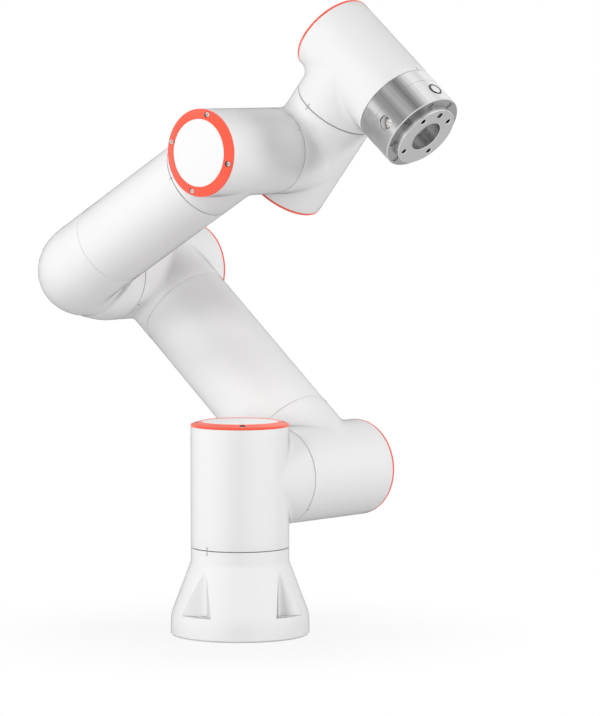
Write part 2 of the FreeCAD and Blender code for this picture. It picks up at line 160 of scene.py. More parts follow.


# Handled surface: slow drift of colour, rubbed edges, painted shade in pits and gaps, faint smudges in the
# gloss, fine grain in the height
handledLook = {"cloud": 14.0, "patch": 160.0, "touch": 38.0, "pitShade": 0.006}
handled, given, result = newGroup("handledSurface", {
    "Color": tone(0.8), "Shade": tone(0.7), "Drift": 0.3, "Roughness": 0.3, "Smudge": 0.08, "Grain": 900.0})
where = addNode(handled, "ShaderNodeTexCoord").outputs["Object"]
cloud = ranged(handled, noiseOf(handled, where, handledLook["cloud"], 4.0), 0.35, 0.7, 0.0, 1.0)
drift = combine(handled, "MULTIPLY", cloud, given["Drift"])
patchy = ranged(handled, noiseOf(handled, where, handledLook["patch"]), 0.3, 0.6, 0.3, 1.0)
rubbed = combine(handled, "MULTIPLY", markOf(handled, "edge"), patchy)
clean = mixColors(handled, combine(handled, "MAXIMUM", drift, rubbed), given["Color"], given["Shade"])
touch = ranged(handled, noiseOf(handled, where, handledLook["touch"], 6.0, 0.6), 0.45, 0.75, 0.0, 1.0)
smear = combine(handled, "MULTIPLY", touch, given["Smudge"])
grain = addNode(handled, "ShaderNodeTexNoise", {"Vector": where, "Scale": given["Grain"], "Detail": 2.0})
# painted shade: where the pit mark is set, the colour goes towards near-black
pitShaded = mixColors(handled, markOf(handled, "pitShade"), clean, tone(handledLook["pitShade"]))
feed(handled, result, {"Color": pitShaded,
                       "Roughness": combine(handled, "ADD", given["Roughness"], smear),
                       "Height": grain.outputs["Fac"]})


def finish(name, group, values, inputs, constants):
    # a paint whose colour, gloss and height come from a group; the shader's other values are constant
    material, tree, shader = newMaterial(name)
    surface = addNode(tree, "ShaderNodeGroup", node_tree=group)
    feed(tree, surface, inputs)
    surface = surface.outputs
    raised = addNode(tree, "ShaderNodeBump", {"Strength": values["bump"], "Distance": values["depth"],
                                              "Height": surface["Height"]})
    feed(tree, shader, {"Base Color": surface["Color"], "Roughness": surface["Roughness"],
                        "Normal": raised.outputs["Normal"], **constants})
    return material, tree, shader


# What a handled finish has unless it says otherwise
plainFinish = {"drift": 0.4, "roughness": 0.34, "smudge": 0.1, "grain": 3000.0, "bump": 0.1,
               "depth": 0.0002, "specular": 0.5, "metallic": 0.0, "coat": 0.0, "coatRoughness": 0.1,
               "coatIor": 1.5, "coatTint": 1.0}


def handledMaterial(name, values):
    # the handled group with one finish's values; the coat's tint dims light that meets it at a low angle
    values = {**plainFinish, **values}
    inputs = {key: tone(values[key.lower()]) for key in ("Color", "Shade")}
    inputs.update({key: values[key.lower()] for key in ("Drift", "Roughness", "Smudge", "Grain")})
    constants = {"Specular IOR Level": values["specular"], "Metallic": values["metallic"],
                 "Coat Weight": values["coat"], "Coat Roughness": values["coatRoughness"],
                 "Coat IOR": values["coatIor"], "Coat Tint": tone(values["coatTint"])}
    return finish(name, handled, values, inputs, constants)[0]


# Turned metal: broad light and dark streaks round the sides that are painted reflections, painted highlights
# on chamfers, painted shade in pits, fine rings on the sides and faces
turnedMetal, given, result = newGroup("turnedMetal", {
    "Color": tone(0.9), "Shade": tone(0.1), "Face": tone(0.5), "Edge": tone(0.9), "Axis": (0, 0, 1),
    "Roughness": 0.3})
turnedLook = {"rings": (3.0, 600.0, 1.0), "lines": (90.0, 0.4, 1.0), "pitShade": 0.008, "ringShade": 0.1}
# Share of half a turn, and how light the painted reflection makes the metal there
paintedReflections = ((0.0, 0.8), (0.03, 0.66), (0.3, 0.62), (0.35, 1.0), (0.48, 1.0), (0.55, 0.74), (0.63, 0.88),
           (0.67, 0.7), (0.715, 0.32), (0.75, 0.2), (0.79, 0.34), (0.83, 0.44), (0.885, 0.25), (0.94, 0.4),
           (0.985, 0.82))
turning = addNode(turnedMetal, "ShaderNodeTexCoord").outputs
around = addNode(turnedMetal, "ShaderNodeSeparateXYZ", {0: turning["UV"]}).outputs[0]
halfTurn = combine(turnedMetal, "FRACT", combine(turnedMetal, "MULTIPLY", around, 2.0))
ramp = addNode(turnedMetal, "ShaderNodeValToRGB", {0: halfTurn})
for number, (share, level) in enumerate(paintedReflections):
    stop = ramp.color_ramp.elements[number] if number < 2 else ramp.color_ramp.elements.new(share)
    stop.position, stop.color = share, tone(level)
onRing = turning["UV"]
ringSpace = addNode(turnedMetal, "ShaderNodeMapping", {"Vector": onRing, "Scale": turnedLook["rings"]})
rings = noiseOf(turnedMetal, ringSpace.outputs["Vector"], 1.0, 4.0, 0.7)
lineSpace = addNode(turnedMetal, "ShaderNodeMapping", {"Vector": onRing, "Scale": turnedLook["lines"]})
lines = noiseOf(turnedMetal, lineSpace.outputs["Vector"], 1.0, 4.0, 0.6)
# painted reflection: the bands' lightness at each angle round the axis, with fine brushing lines added
reflectionAndBrushing = combine(turnedMetal, "ADD", ramp.outputs[0], ranged(turnedMetal, lines, 0.3, 0.7, -0.05, 0.05))
side = mixColors(turnedMetal, reflectionAndBrushing, given["Shade"], given["Color"])
facing = addNode(turnedMetal, "ShaderNodeVectorMath", {0: turning["Normal"], 1: given["Axis"]},
                 operation="DOT_PRODUCT").outputs["Value"]
lean = combine(turnedMetal, "ABSOLUTE", facing)
both = mixColors(turnedMetal, ranged(turnedMetal, lean, 0.75, 0.95, 0.0, 1.0), side, given["Face"])
# painted highlight: chamfers leaning between the sides and the faces take the lighter Edge colour
bevel = combine(turnedMetal, "MULTIPLY", ranged(turnedMetal, lean, 0.25, 0.45, 0.0, 1.0),
                ranged(turnedMetal, lean, 0.8, 0.92, 1.0, 0.0))
chamferHighlighted = mixColors(turnedMetal, bevel, both, given["Edge"])
# painted shade: where the pit mark is set, the colour goes towards near-black
dark = mixColors(turnedMetal, markOf(turnedMetal, "pitShade"), chamferHighlighted, tone(turnedLook["pitShade"]))
ringed = mixColors(turnedMetal, ranged(turnedMetal, rings, 0.4, 0.8, 0.0, 0.12), dark,
                   tone(turnedLook["ringShade"]))
rough = combine(turnedMetal, "ADD", given["Roughness"], ranged(turnedMetal, rings, 0.3, 0.7, -0.04, 0.06))
feed(turnedMetal, result, {"Color": ringed, "Roughness": rough, "Height": rings})


def turnedMaterial(name, values):
    # the turned group with one finish's values: Color and Shade are the light and dark ends of its painted
    # reflection bands, Edge is its painted chamfer highlight; the gloss is stretched across the rings
    inputs = {key: tone(values[key.lower()]) for key in ("Color", "Shade", "Face", "Edge")}
    inputs.update({"Axis": toolWay, "Roughness": values["roughness"]})
    constants = {"Metallic": 1.0, "Specular Tint": tone(values["glance"]),
                 "Anisotropic": values["anisotropic"]}
    material, tree, shader = finish(name, turnedMetal, values, inputs, constants)
    tangent = addNode(tree, "ShaderNodeTangent", direction_type="UV_MAP", uv_map="around")
    feed(tree, shader, {"Tangent": tangent.outputs[0]})
    return material


whitePaint = handledMaterial("whitePaint", {
    "color": 0.88, "shade": 0.8, "drift": 0.04, "roughness": 0.3, "smudge": 0.03, "grain": 1400.0,
    "bump": 0.05, "specular": 0.25, "coat": 1.0, "coatTint": 0.945, "coatIor": 1.0, "coatRoughness": 0.3})
whiteMoulding = handledMaterial("whiteMoulding", {
    "color": 0.83, "shade": 0.76, "drift": 0.05, "roughness": 0.36, "smudge": 0.06, "grain": 2600.0,
    "bump": 0.12})
paleMoulding = handledMaterial("paleMoulding", {
    "color": 0.95, "shade": 0.85, "drift": 0.2, "roughness": 0.45, "smudge": 0.08, "grain": 2600.0,
    "bump": 0.2})
redMoulding = handledMaterial("redMoulding", {
    "color": (0.93, 0.10, 0.052), "shade": (0.72, 0.06, 0.03), "drift": 0.15, "roughness": 0.3,
    "smudge": 0.08, "grain": 2400.0, "bump": 0.08})
blackMoulding = handledMaterial("blackMoulding", {
    "color": (0.022, 0.022, 0.024), "shade": 0.05, "roughness": 0.38, "grain": 2600.0, "bump": 0.15})
buttonMoulding = handledMaterial("buttonMoulding", {
    "color": (0.82, 0.83, 0.84), "shade": (0.7, 0.71, 0.72), "drift": 0.2, "roughness": 0.3,
    "grain": 2200.0, "bump": 0.08})
markInk = handledMaterial("markInk", {
    "color": (0.1, 0.1, 0.105), "shade": 0.18, "roughness": 0.5, "depth": 0.0001})
screwSteel = handledMaterial("screwSteel", {
    "color": 0.92, "shade": 0.75, "drift": 0.3, "roughness": 0.26, "smudge": 0.14, "metallic": 1.0})
sleeveSteel = handledMaterial("sleeveSteel", {
    "color": 0.68, "shade": 0.5, "smudge": 0.14, "metallic": 1.0})
boltSteel = handledMaterial("boltSteel", {
    "color": 0.42, "shade": 0.25, "smudge": 0.14, "metallic": 1.0})
darkSteel = handledMaterial("darkSteel", {
    "color": (0.12, 0.12, 0.125), "shade": 0.06, "drift": 0.5, "roughness": 0.4, "smudge": 0.15,
    "grain": 2000.0, "bump": 0.2, "metallic": 0.8})
contactGold = handledMaterial("contactGold", {
    "color": (0.8, 0.73, 0.58), "shade": (0.6, 0.5, 0.36), "roughness": 0.22, "bump": 0.06,
    "metallic": 1.0})
# Turned finishes: color and shade are the light and dark ends of the painted reflection bands, edge is the
# painted highlight on chamfers
turnedAluminium = turnedMaterial("turnedAluminium", {
    "color": 0.97, "shade": 0.0, "face": 0.36, "edge": 0.8, "glance": 0.8, "roughness": 0.3, "bump": 0.2,
    "depth": 0.00002, "anisotropic": 0.5})
facedAluminium = turnedMaterial("facedAluminium", {
    "color": 0.97, "shade": 0.28, "face": 0.53, "edge": 0.95, "glance": 0.8, "roughness": 0.34, "bump": 0.2,
    "depth": 0.00002, "anisotropic": 0.4})
print("materials built")


def buildPiece(name, patches, body, nodes, material, places=(home,), sharp=38, own=home):
    # grids of points in mm, four-sided faces between neighbours, joined where they meet, then in metres
    points, quads, coords, count = [], [], [], 0
    for place in places:
        turn, shift = within(own, place)
        for patch in patches:
            rows, columns = patch.shape[:2]
            index = np.arange(rows * columns).reshape(rows, columns) + count
            corners = [index[:-1, :-1], index[:-1, 1:], index[1:, 1:], index[1:, :-1]]
            quads.append(np.stack(corners, -1).reshape(-1, 4))
            local = patch.reshape(-1, 3)
            x, y, z = (local @ place[0].T + place[1]).T
            coords.append(np.stack([np.arctan2(y, x) / fullTurn, (z + np.hypot(x, y)) * 0.01], -1))
            points.append((local @ turn.T + shift) * 0.001)
            count += rows * columns
    points, quads, coords = [np.concatenate(part) for part in (points, quads, coords)]
    # a face over the seam of the angle takes its low corners one turn further
    corners = coords[quads]
    wide = np.ptp(corners[..., 0], axis=1) > 0.5
    corners[..., 0] += (wide[:, None] & (corners[..., 0] < 0)) * 1.0
    mesh = bpy.data.meshes.new(name)
    mesh.vertices.add(len(points))
    mesh.vertices.foreach_set("co", points.ravel())
    mesh.loops.add(quads.size)
    mesh.loops.foreach_set("vertex_index", quads.ravel())
    mesh.polygons.add(len(quads))
    mesh.polygons.foreach_set("loop_start", np.arange(0, quads.size, 4))
    mesh.update(calc_edges=True)
    mesh.uv_layers.new(name="around").data.foreach_set("uv", corners.ravel())
    work = bmesh.new()
    work.from_mesh(mesh)
    bmesh.ops.remove_doubles(work, verts=work.verts, dist=2e-6)
    bmesh.ops.dissolve_degenerate(work, edges=work.edges, dist=1e-6)
    bmesh.ops.recalc_face_normals(work, faces=work.faces)
    work.to_mesh(mesh)
    work.free()
    mesh.shade_smooth()
    mesh.set_sharp_from_angle(angle=math.radians(sharp))
    markEdges(mesh)
    piece = bpy.data.objects.new(name, mesh)
    bpy.context.scene.collection.objects.link(piece)
    piece.data.materials.append(material)
    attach(piece, body)
    if nodes:
        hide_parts(*nodes)
    return piece


def markEdges(mesh):
    # edge = how far the faces at a point lean from the point's own normal, from 0 to 1
    normals, pointNormals = np.empty(len(mesh.polygons) * 3), np.empty(len(mesh.vertices) * 3)
    owner, total = np.empty(len(mesh.loops), int), np.empty(len(mesh.polygons), int)
    mesh.polygons.foreach_get("normal", normals)
    mesh.vertices.foreach_get("normal", pointNormals)
    mesh.loops.foreach_get("vertex_index", owner)
    mesh.polygons.foreach_get("loop_total", total)
    faceOf = np.repeat(np.arange(len(total)), total)
    lean = 1 - np.sum(normals.reshape(-1, 3)[faceOf] * pointNormals.reshape(-1, 3)[owner], 1)
    worst = np.zeros(len(mesh.vertices))
    np.maximum.at(worst, owner, lean)
    layer = mesh.attributes.new("edge", "FLOAT", "POINT")
    layer.data.foreach_set("value", np.clip(worst * 4, 0, 1))


def paintPitShade(piece, own, spots, inner, outer, top, deep):
    # painted shade = (top - z) / deep within 0 to 1, at points between two radii of any of the spots' axes;
    # it darkens holes, wells and gaps
    points = np.empty(len(piece.data.vertices) * 3)
    piece.data.vertices.foreach_get("co", points)
    layer = piece.data.attributes.get("pitShade") or piece.data.attributes.new("pitShade", "FLOAT", "POINT")
    pitShade = np.zeros(len(piece.data.vertices))
    layer.data.foreach_get("value", pitShade)
    for spot in spots:
        turn, shift = within(own, spot)
        x, y, z = ((points.reshape(-1, 3) * 1000 - shift) @ turn).T
        reach = np.hypot(x, y)
        here = (reach >= inner) & (reach <= outer)
        pitShade = np.maximum(pitShade, np.where(here, np.clip((top - z) / deep, 0, 1), 0))
    layer.data.foreach_set("value", pitShade)


def polar(radius, angle, height):
    # (r cos a, r sin a, z), for numbers or arrays that fit each other
    parts = np.broadcast_arrays(radius * np.cos(angle), radius * np.sin(angle), height)
    return np.stack(parts, -1)


def overGrid(surface, v, angles):
    # surface(v, a) at every v, row by row, and every angle
    return surface(*np.meshgrid(v, angles, indexing="ij"))


def flatAt(level):
    # a flat face across the axis: (v cos a, v sin a, level)
    return lambda v, angle: polar(v, angle, level)


def turnedAt(profile, angles):
    # each (r, z) of the profile at each of the angles: (r cos a, r sin a, z)
    radius, height = np.array(profile, float).T[:, :, None]
    return polar(radius, angles[None, :], height)


def turned(profile, columns=96):
    # the profile carried once round the axis in even steps
    return turnedAt(profile, np.linspace(0, fullTurn, columns + 1))


def chain(*parts):
    # arrays end to end, where each one starts with the value that the one before ends with
    return np.concatenate([part[:-1] for part in parts[:-1]] + [parts[-1]])


def rounded(corners, steps=4):
    # corners are (r, z, bevel): each becomes the curve (1-t)^2 A + 2t(1-t) B + t^2 C between its neighbours
    corners = np.array(corners, float)
    before, after = np.roll(corners, 1, 0), np.roll(corners, -1, 0)
    before[0], after[-1] = corners[0], corners[-1]
    share = np.linspace(0, 1, steps + 1)[None, :, None]

    def towards(other):
        # from the corner, the bevel's length along the straight line to the other corner
        gap = other[:, :2] - corners[:, :2]
        length = np.maximum(np.linalg.norm(gap, axis=1), 1e-9)
        return corners[:, :2] + gap * (np.minimum(corners[:, 2], 0.49 * length) / length)[:, None]

    start, end, middle = towards(before)[:, None], towards(after)[:, None], corners[:, None, :2]
    curve = (1 - share) ** 2 * start + 2 * share * (1 - share) * middle + share ** 2 * end
    return curve.reshape(-1, 2)


def turnedPiece(name, corners, body, node, material, own, columns=64, sharp=38):
    # one piece turned from one rounded profile
    return buildPiece(name, [turned(rounded(corners), columns)], body, [node], material, own=own,
                      sharp=sharp)


def ringPlaces(circle, turns, high=0.0, facing=None):
    # upright places at (c cos a, c sin a, high), each with its X turned to its own facing angle
    facing = np.zeros(len(turns)) if facing is None else facing
    return [placeOf((circle * math.cos(turn), circle * math.sin(turn), high), upright,
                    (math.cos(way), math.sin(way), 0)) for turn, way in zip(turns, facing)]


def flatFace(centre, turn):
    # a hole in a face across the axis: x = v cos(a - turn) - centre, y = v sin(a - turn), and back
    def toFlat(v, angle):
        # from the surface's own values to the hole's flat picture
        return v * np.cos(angle - turn) - centre, v * np.sin(angle - turn)

    def fromFlat(x, y):
        # from the hole's flat picture back to the surface's own values
        return np.hypot(x + centre, y), turn + np.arctan2(y, x + centre)
    return toFlat, fromFlat


def sideFace(centre, turn, radiusAt):
    # a hole in a side round the axis: x = v - centre, y = r(v) sin(a - turn) straight across, and back
    def toFlat(v, angle):
        # from the surface's own values to the hole's flat picture
        return v - centre, radiusAt(v) * np.sin(angle - turn)

    def fromFlat(x, y):
        # from the hole's flat picture back to the surface's own values
        return x + centre, turn + np.arcsin(np.clip(y / radiusAt(x + centre), -1, 1))
    return toFlat, fromFlat


def pierce(v, angles, flat, radius, surface, rows=5):
    # from a block's outline to an even circle: p = (1-t) outline + t circle in (v, a), then on the surface
    toFlat, fromFlat = flat
    low, high = np.full(len(angles), v[0]), np.full(len(angles), v[-1])
    left, right = np.full(len(v), angles[0]), np.full(len(v), angles[-1])
    sides = [(low, angles), (v, right), (high, angles[::-1]), (v[::-1], left)]
    outline = [np.concatenate([side[k][:-1] for side in sides]) for k in (0, 1)]
    x, y = toFlat(*outline)
    aim = np.unwrap(np.arctan2(y, x))
    if aim[-1] < aim[0]:
        outline, aim = [part[::-1] for part in outline], aim[::-1]
    first = np.argmin(np.abs(np.mod(aim + math.pi, fullTurn) - math.pi))
    outline = [np.roll(part, -first) for part in outline]
    spread = np.linspace(0, fullTurn, len(aim) + 1)
    circle = fromFlat(radius * np.cos(spread), radius * np.sin(spread))
    share = np.linspace(0, 1, rows)[:, None]
    return surface(*[(1 - share) * np.append(edge, edge[0]) + share * ring
                     for edge, ring in zip(outline, circle)])


def sectorsOf(blocks, step):
    # the whole turn cut into sectors: the given blocks (centre, half span, columns, kind) and plain gaps
    blocks = sorted(blocks)
    sectors = []
    for block, after in zip(blocks, blocks[1:] + [(blocks[0][0] + fullTurn, *blocks[0][1:])]):
        start, end = block[0] + block[1], after[0] - after[1]
        sectors.append((block[0], np.linspace(block[0] - block[1], start, block[2] + 1), block[3]))
        if end - start > 1e-6:
            count = max(1, round((end - start) / step))
            sectors.append((None, np.linspace(start, end, count + 1), "plain"))
    return sectors, chain(*[sector[1] for sector in sectors])


def piercedBand(v, sectors, holes, surface, rows=5):
    # a band of the surface; a sector whose kind is in holes, as (radius, face), has a hole of that radius
    patches, rims = [], []
    for turn, angles, kind in sectors:
        if kind in holes:
            radius, faceOf = holes[kind]
            block = pierce(v, angles, faceOf(turn), radius, surface, rows)
            rims.append((turn, kind, block[-1]))
        else:
            block = overGrid(surface, v, angles)
        patches.append(block)
    return patches, rims


def well(rim, way, level, lip):
    # from a hole's rim over a small round lip straight down to a flat floor, closed in the middle
    way = np.array(way, float)
    centre = rim[:-1].mean(0)
    spoke = rim - centre
    spoke = spoke - np.outer(spoke @ way, way)
    spoke = spoke / np.linalg.norm(spoke, axis=1)[:, None]
    turn = np.linspace(0, quarter, 4)[:, None, None]
    lipRows = rim[None] - spoke[None] * lip * np.sin(turn) - way * lip * (1 - np.cos(turn))
    last = lipRows[-1]
    floor = last - np.outer(last @ way - level, way)
    middle = floor[:-1].mean(0)
    inner = middle + (floor - middle) * 0.5
    rows = [last + (floor - last) * 0.5, floor, inner, inner * 0 + middle]
    return np.concatenate([lipRows, np.stack(rows)])


# Castings: a cylinder and a branch of the same radius, with a soft crossing
casting = {"wall": 4.0, "bevel": 0.35, "spare": 0.3, "gap": 0.5, "upperLow": 55.0, "upperHigh": 53.0,
           "foreWrist": 48.0, "columns": 60, "lineSteps": 6, "blendSteps": 10, "rimSteps": 4}


def rimPath(radius, end, bevel):
    # quarter round at an open end: radius falls by b(1 - cos a), place is end - b + b sin a
    angle = np.linspace(0, quarter, casting["rimSteps"])[:, None]
    return radius - bevel * (1 - np.cos(angle)), end - bevel + bevel * np.sin(angle)


def bentRows(angle, radius, heights, bends, reaches, ends, bevel):
    # the rows of a bent skin from one open end to the other; with a bevel, each end gets its round rim
    side, cross = np.cos(angle), np.sin(angle)
    rows = [np.stack(np.broadcast_arrays(x, radius * cross, z), -1) for x, z in (heights, bends, reaches)]
    if bevel:
        rimRadius, rimPlace = [part[::-1] for part in rimPath(radius, ends[0], bevel)]
        rows.insert(0, polar(rimRadius, angle, rimPlace))
        rimRadius, rimPlace = rimPath(radius, ends[1], bevel)
        rows.append(np.stack(np.broadcast_arrays(rimPlace, rimRadius * cross, rimRadius * side), -1))
    return np.concatenate(rows)


def castingHalf(angle, radius, up, out, liftUp, liftOut, bevel):
    # in each plane y = R sin a: down the line x = R cos a, round a quarter ellipse, along z = R cos a
    level = radius * np.cos(angle)
    line = np.linspace(0, 1, casting["lineSteps"])[:, None]
    bend = np.linspace(0, quarter, casting["blendSteps"] + 1)[:, None]
    height = up - bevel + line * (level + liftUp - up + bevel)
    reach = level + liftOut + line * (out - bevel - level - liftOut)
    bends = (level + liftOut * (1 - np.cos(bend)), level + liftUp * (1 - np.sin(bend)))
    return bentRows(angle, radius, (level, height), bends, (reach, level), (up, out), bevel)


def castingSkin(radius, size, low, high, out, shift, bevel):
    # front half from two crossing halves, back half straight from end to end; the blend ends before a rim
    angle = np.linspace(-quarter, quarter, casting["columns"] + 1)[None, :]
    blend = size["blend"] * np.cos(angle)
    taken = casting["bevel"] + casting["spare"] + size["radius"] * np.cos(angle)
    liftHigh, liftLow, liftOut = [np.minimum(blend, end - taken) + shift * np.cos(angle)
                                  for end in (high, low, out)]
    skin = [castingHalf(angle, radius, high, out, liftHigh, liftOut, bevel),
            castingHalf(angle, radius, low, out, liftLow, liftOut, bevel) * (1, 1, -1)]
    for end, sign in ((high, 1), (low, -1)):
        places = (end - bevel) * (1 - np.linspace(0, 1, casting["lineSteps"]))[:, None]
        radii = radius + 0 * places
        if bevel:
            rimRadius, rimPlace = rimPath(radius, end, bevel)
            radii, places = np.append(rimRadius[::-1], radii, 0), np.append(rimPlace[::-1], places, 0)
        skin.append(polar(radii, angle + math.pi, sign * places))
    return skin


def makeCasting(name, size, out, body, node, place):
    # outer skin, inner skin a wall further in, and flat rims at the three ends
    radius, wall = size["radius"], casting["wall"]
    low, high = size["seam"] - casting["gap"], size["cover"]
    outer = castingSkin(radius, size, low, high, out, 0.0, casting["bevel"])
    inner = castingSkin(radius - wall, size, low, high, out, wall, 0.0)
    rims = [turned([(radius - casting["bevel"], end), (radius - wall, end)], 2 * casting["columns"])
            for end in (high, -low, out)]
    rims[2] = rims[2][..., [2, 1, 0]]
    return buildPiece(name, [*outer, *inner, *rims], body, [node], whitePaint, own=place)


shoulderBranch = arm["upperOffset"] - bigJoint["seam"] - casting["gap"]
wristBranch = arm["wristStep"] - slimJoint["seam"] - casting["gap"]
branches = [("shoulder", shoulderBranch), ("upper_arm_lower", casting["upperLow"]),
            ("upper_arm_upper", casting["upperHigh"]), ("forearm_wrist", casting["foreWrist"]),
            ("wrist_1", wristBranch), ("wrist_2", wristBranch)]
for (body, size, place), (name, branch) in zip(jointPlaces, branches):
    makeCasting(name + "_casting", size, branch, body, name + "_housing", place)
print("castings built")


# Elbow: a bent pipe that widens to the third joint's seam
elbow = {"radius": 40.0, "wall": 4.0, "bend": 27.0, "inner": 8.0, "soft": 6.0, "far": 62.0, "bevel": 0.35,
         "high": arm["upperOffset"] - bigJoint["seam"] - casting["gap"] - arm["foreOffset"],
         "flareFrom": 12.0, "flareTo": 50.0, "columns": 120, "lineSteps": 12, "bendSteps": 18}


def elbowSkin(radius, shrink, bevel):
    # in each plane y = R sin a: down x = R cos a, round an arc that is wider further out, along z = R cos a;
    # the upper end then grows by 1 + k s^2 (3 - 2s), with s its share of the flare's height
    high, far, inner = elbow["high"], elbow["far"], elbow["inner"] + shrink
    angle = np.linspace(0, fullTurn, elbow["columns"] + 1)[None, :]
    level = radius * np.cos(angle)
    gap = elbow["bend"] - level - inner
    arc = inner + 0.5 * (gap + np.sqrt(gap ** 2 + elbow["soft"] ** 2))
    line = np.linspace(0, 1, elbow["lineSteps"])[:, None]
    bend = np.linspace(0, quarter, elbow["bendSteps"] + 1)[:, None]
    height = high - bevel + line * (level + arc - high + bevel)
    reach = level + arc + line * (far - bevel - level - arc)
    bends = (level + arc * (1 - np.cos(bend)), level + arc * (1 - np.sin(bend)))
    skin = bentRows(angle, radius, (level, height), bends, (reach, level), (high, far), bevel)
    share = np.clip((skin[..., 2] - elbow["flareFrom"]) / (elbow["flareTo"] - elbow["flareFrom"]), 0, 1)
    onBoss = skin[..., 2] >= level + arc - 1e-6
    grow = 1 + (bigJoint["radius"] / elbow["radius"] - 1) * share * share * (3 - 2 * share) * onBoss
    skin[..., :2] *= grow[..., None]
    return skin


outerSkin = elbowSkin(elbow["radius"], 0.0, elbow["bevel"])
innerSkin = elbowSkin(elbow["radius"] - elbow["wall"], elbow["wall"], 0.0)
rims = [np.stack([outerSkin[end], innerSkin[end]]) for end in (0, -1)]
buildPiece("elbow_bend", [outerSkin, innerSkin, *rims], "forearm", ["elbow_casting"],
           whitePaint, own=placeOf(elbowPoint, across, foreWay))
print("elbow built")


# Link tubes: each is drawn a hair's breadth from its castings, and the wide gap gets painted shade
tube = {"wall": 4.0, "bevel": 0.3, "groove": 0.5, "edge": 0.01, "spigot": 12.0, "spigotGap": 4.3,
        "spigotEdge": 0.5, "columns": 120, "upperRadius": 45.0, "upperGaps": (0.5, 0.15),
        "foreRadius": 40.0, "foreGaps": (0.35, 0.6)}


def makeTube(name, node, body, radius, start, end, gaps, origin, way):
    # profile turned round the link: outside with rounded ends, a spigot into each casting, and the bore
    spigot, inside = radius - tube["spigotGap"], radius - 2 * tube["wall"]
    low, high = start - tube["spigot"], end + tube["spigot"]
    start, end = start + gaps[0], end - gaps[1]
    middle = [(radius, start + share * (end - start), 0) for share in (0.25, 0.5, 0.75)]
    profile = [(inside, low, 0), (spigot, low, tube["spigotEdge"]), (spigot, start, 0),
               (radius, start, tube["bevel"]), *middle, (radius, end, tube["bevel"]), (spigot, end, 0),
               (spigot, high, tube["spigotEdge"]), (inside, high, 0), (inside, low, 0)]
    own = placeOf(origin, way, across)
    piece = turnedPiece(name, profile, body, node, whitePaint, own, tube["columns"])
    # painted shade on the tube's end face where the gap is wide
    if gaps[1] > tube["groove"]:
        paintPitShade(piece, own, [turnedOver], spigot - 0.1, radius - 0.1, tube["edge"] - end, tube["edge"])


makeTube("upper_link", "upper_arm_tube", "upper_arm", tube["upperRadius"], casting["upperLow"],
         arm["upperLength"] - casting["upperHigh"], tube["upperGaps"], upperStart, upperWay)
makeTube("fore_link", "forearm_tube", "forearm", tube["foreRadius"], elbow["far"],
         arm["foreLength"] - casting["foreWrist"], tube["foreGaps"], elbowPoint, foreWay)
print("tubes built")


# Ends of the joints: coloured ring, cover and four screws in wells
ringForm = {"start": 0.08, "edge": 0.25, "rim": 2.0, "rimEdge": 0.5, "high": 4.6, "bulge": 0.15,
            "inset": 0.45, "faceUp": 0.12, "faceDown": 0.1, "rebate": 2.0, "rebateHigh": 1.5, "hole": 2.75,
            "seat": 1.2, "lip": 0.18, "span": 0.1, "rows": 9, "turns": (45, 135, 225, 315), "screwTurn": 0.5}
coverForm = {"gap": 0.15, "start": 0.02, "high": 4.15, "edge": 0.3, "brimGap": 0.2, "brimHigh": 1.4,
             "brimEdge": 0.2, "columns": 120}
screwForm = {"head": 2.2, "high": 1.6, "edge": 0.3, "key": 1.1, "keyDepth": 0.8, "shank": 1.5,
             "length": 9.0, "fade": 2.0}


def keyScrew(form):
    # rows from the bottom of the hexagonal key socket, r = k / cos(a mod 60), over the head and down the
    # shank; z = 0 is the head's seat
    angle = np.linspace(0, fullTurn, 49)
    sector = np.mod(angle + math.pi / 6, math.pi / 3) - math.pi / 6
    key = form["key"] / np.cos(sector)
    head, top, edge = form["head"], form["high"], form["edge"]
    floor = top - form["keyDepth"]
    rows = [(0 * angle, floor), (key * 0.6, floor), (key, floor), (key, top - 0.1), (key + 0.1, top)]
    rows += rounded([(head - 2 * edge, top, 0), (head, top, edge), (head, 0, 0.1), (form["shank"], 0, 0),
                     (form["shank"], -form["length"], 0.3), (0, -form["length"], 0)]).tolist()
    return np.stack([polar(r + 0 * angle, angle, z) for r, z in rows])


def makeScrews(name, form, body, node, material, places, own):
    # one screw at each place, with painted shade in its key socket and below its head's rounded edge
    piece = buildPiece(name, [keyScrew(form)], body, [node], material, places, own=own)
    paintPitShade(piece, own, places, 0, form["key"] * 1.16 + 0.05, form["high"] - 0.05, form["fade"])
    paintPitShade(piece, own, places, form["head"] - 0.1, form["head"] + 0.1, form["high"] - form["edge"], 0.3)


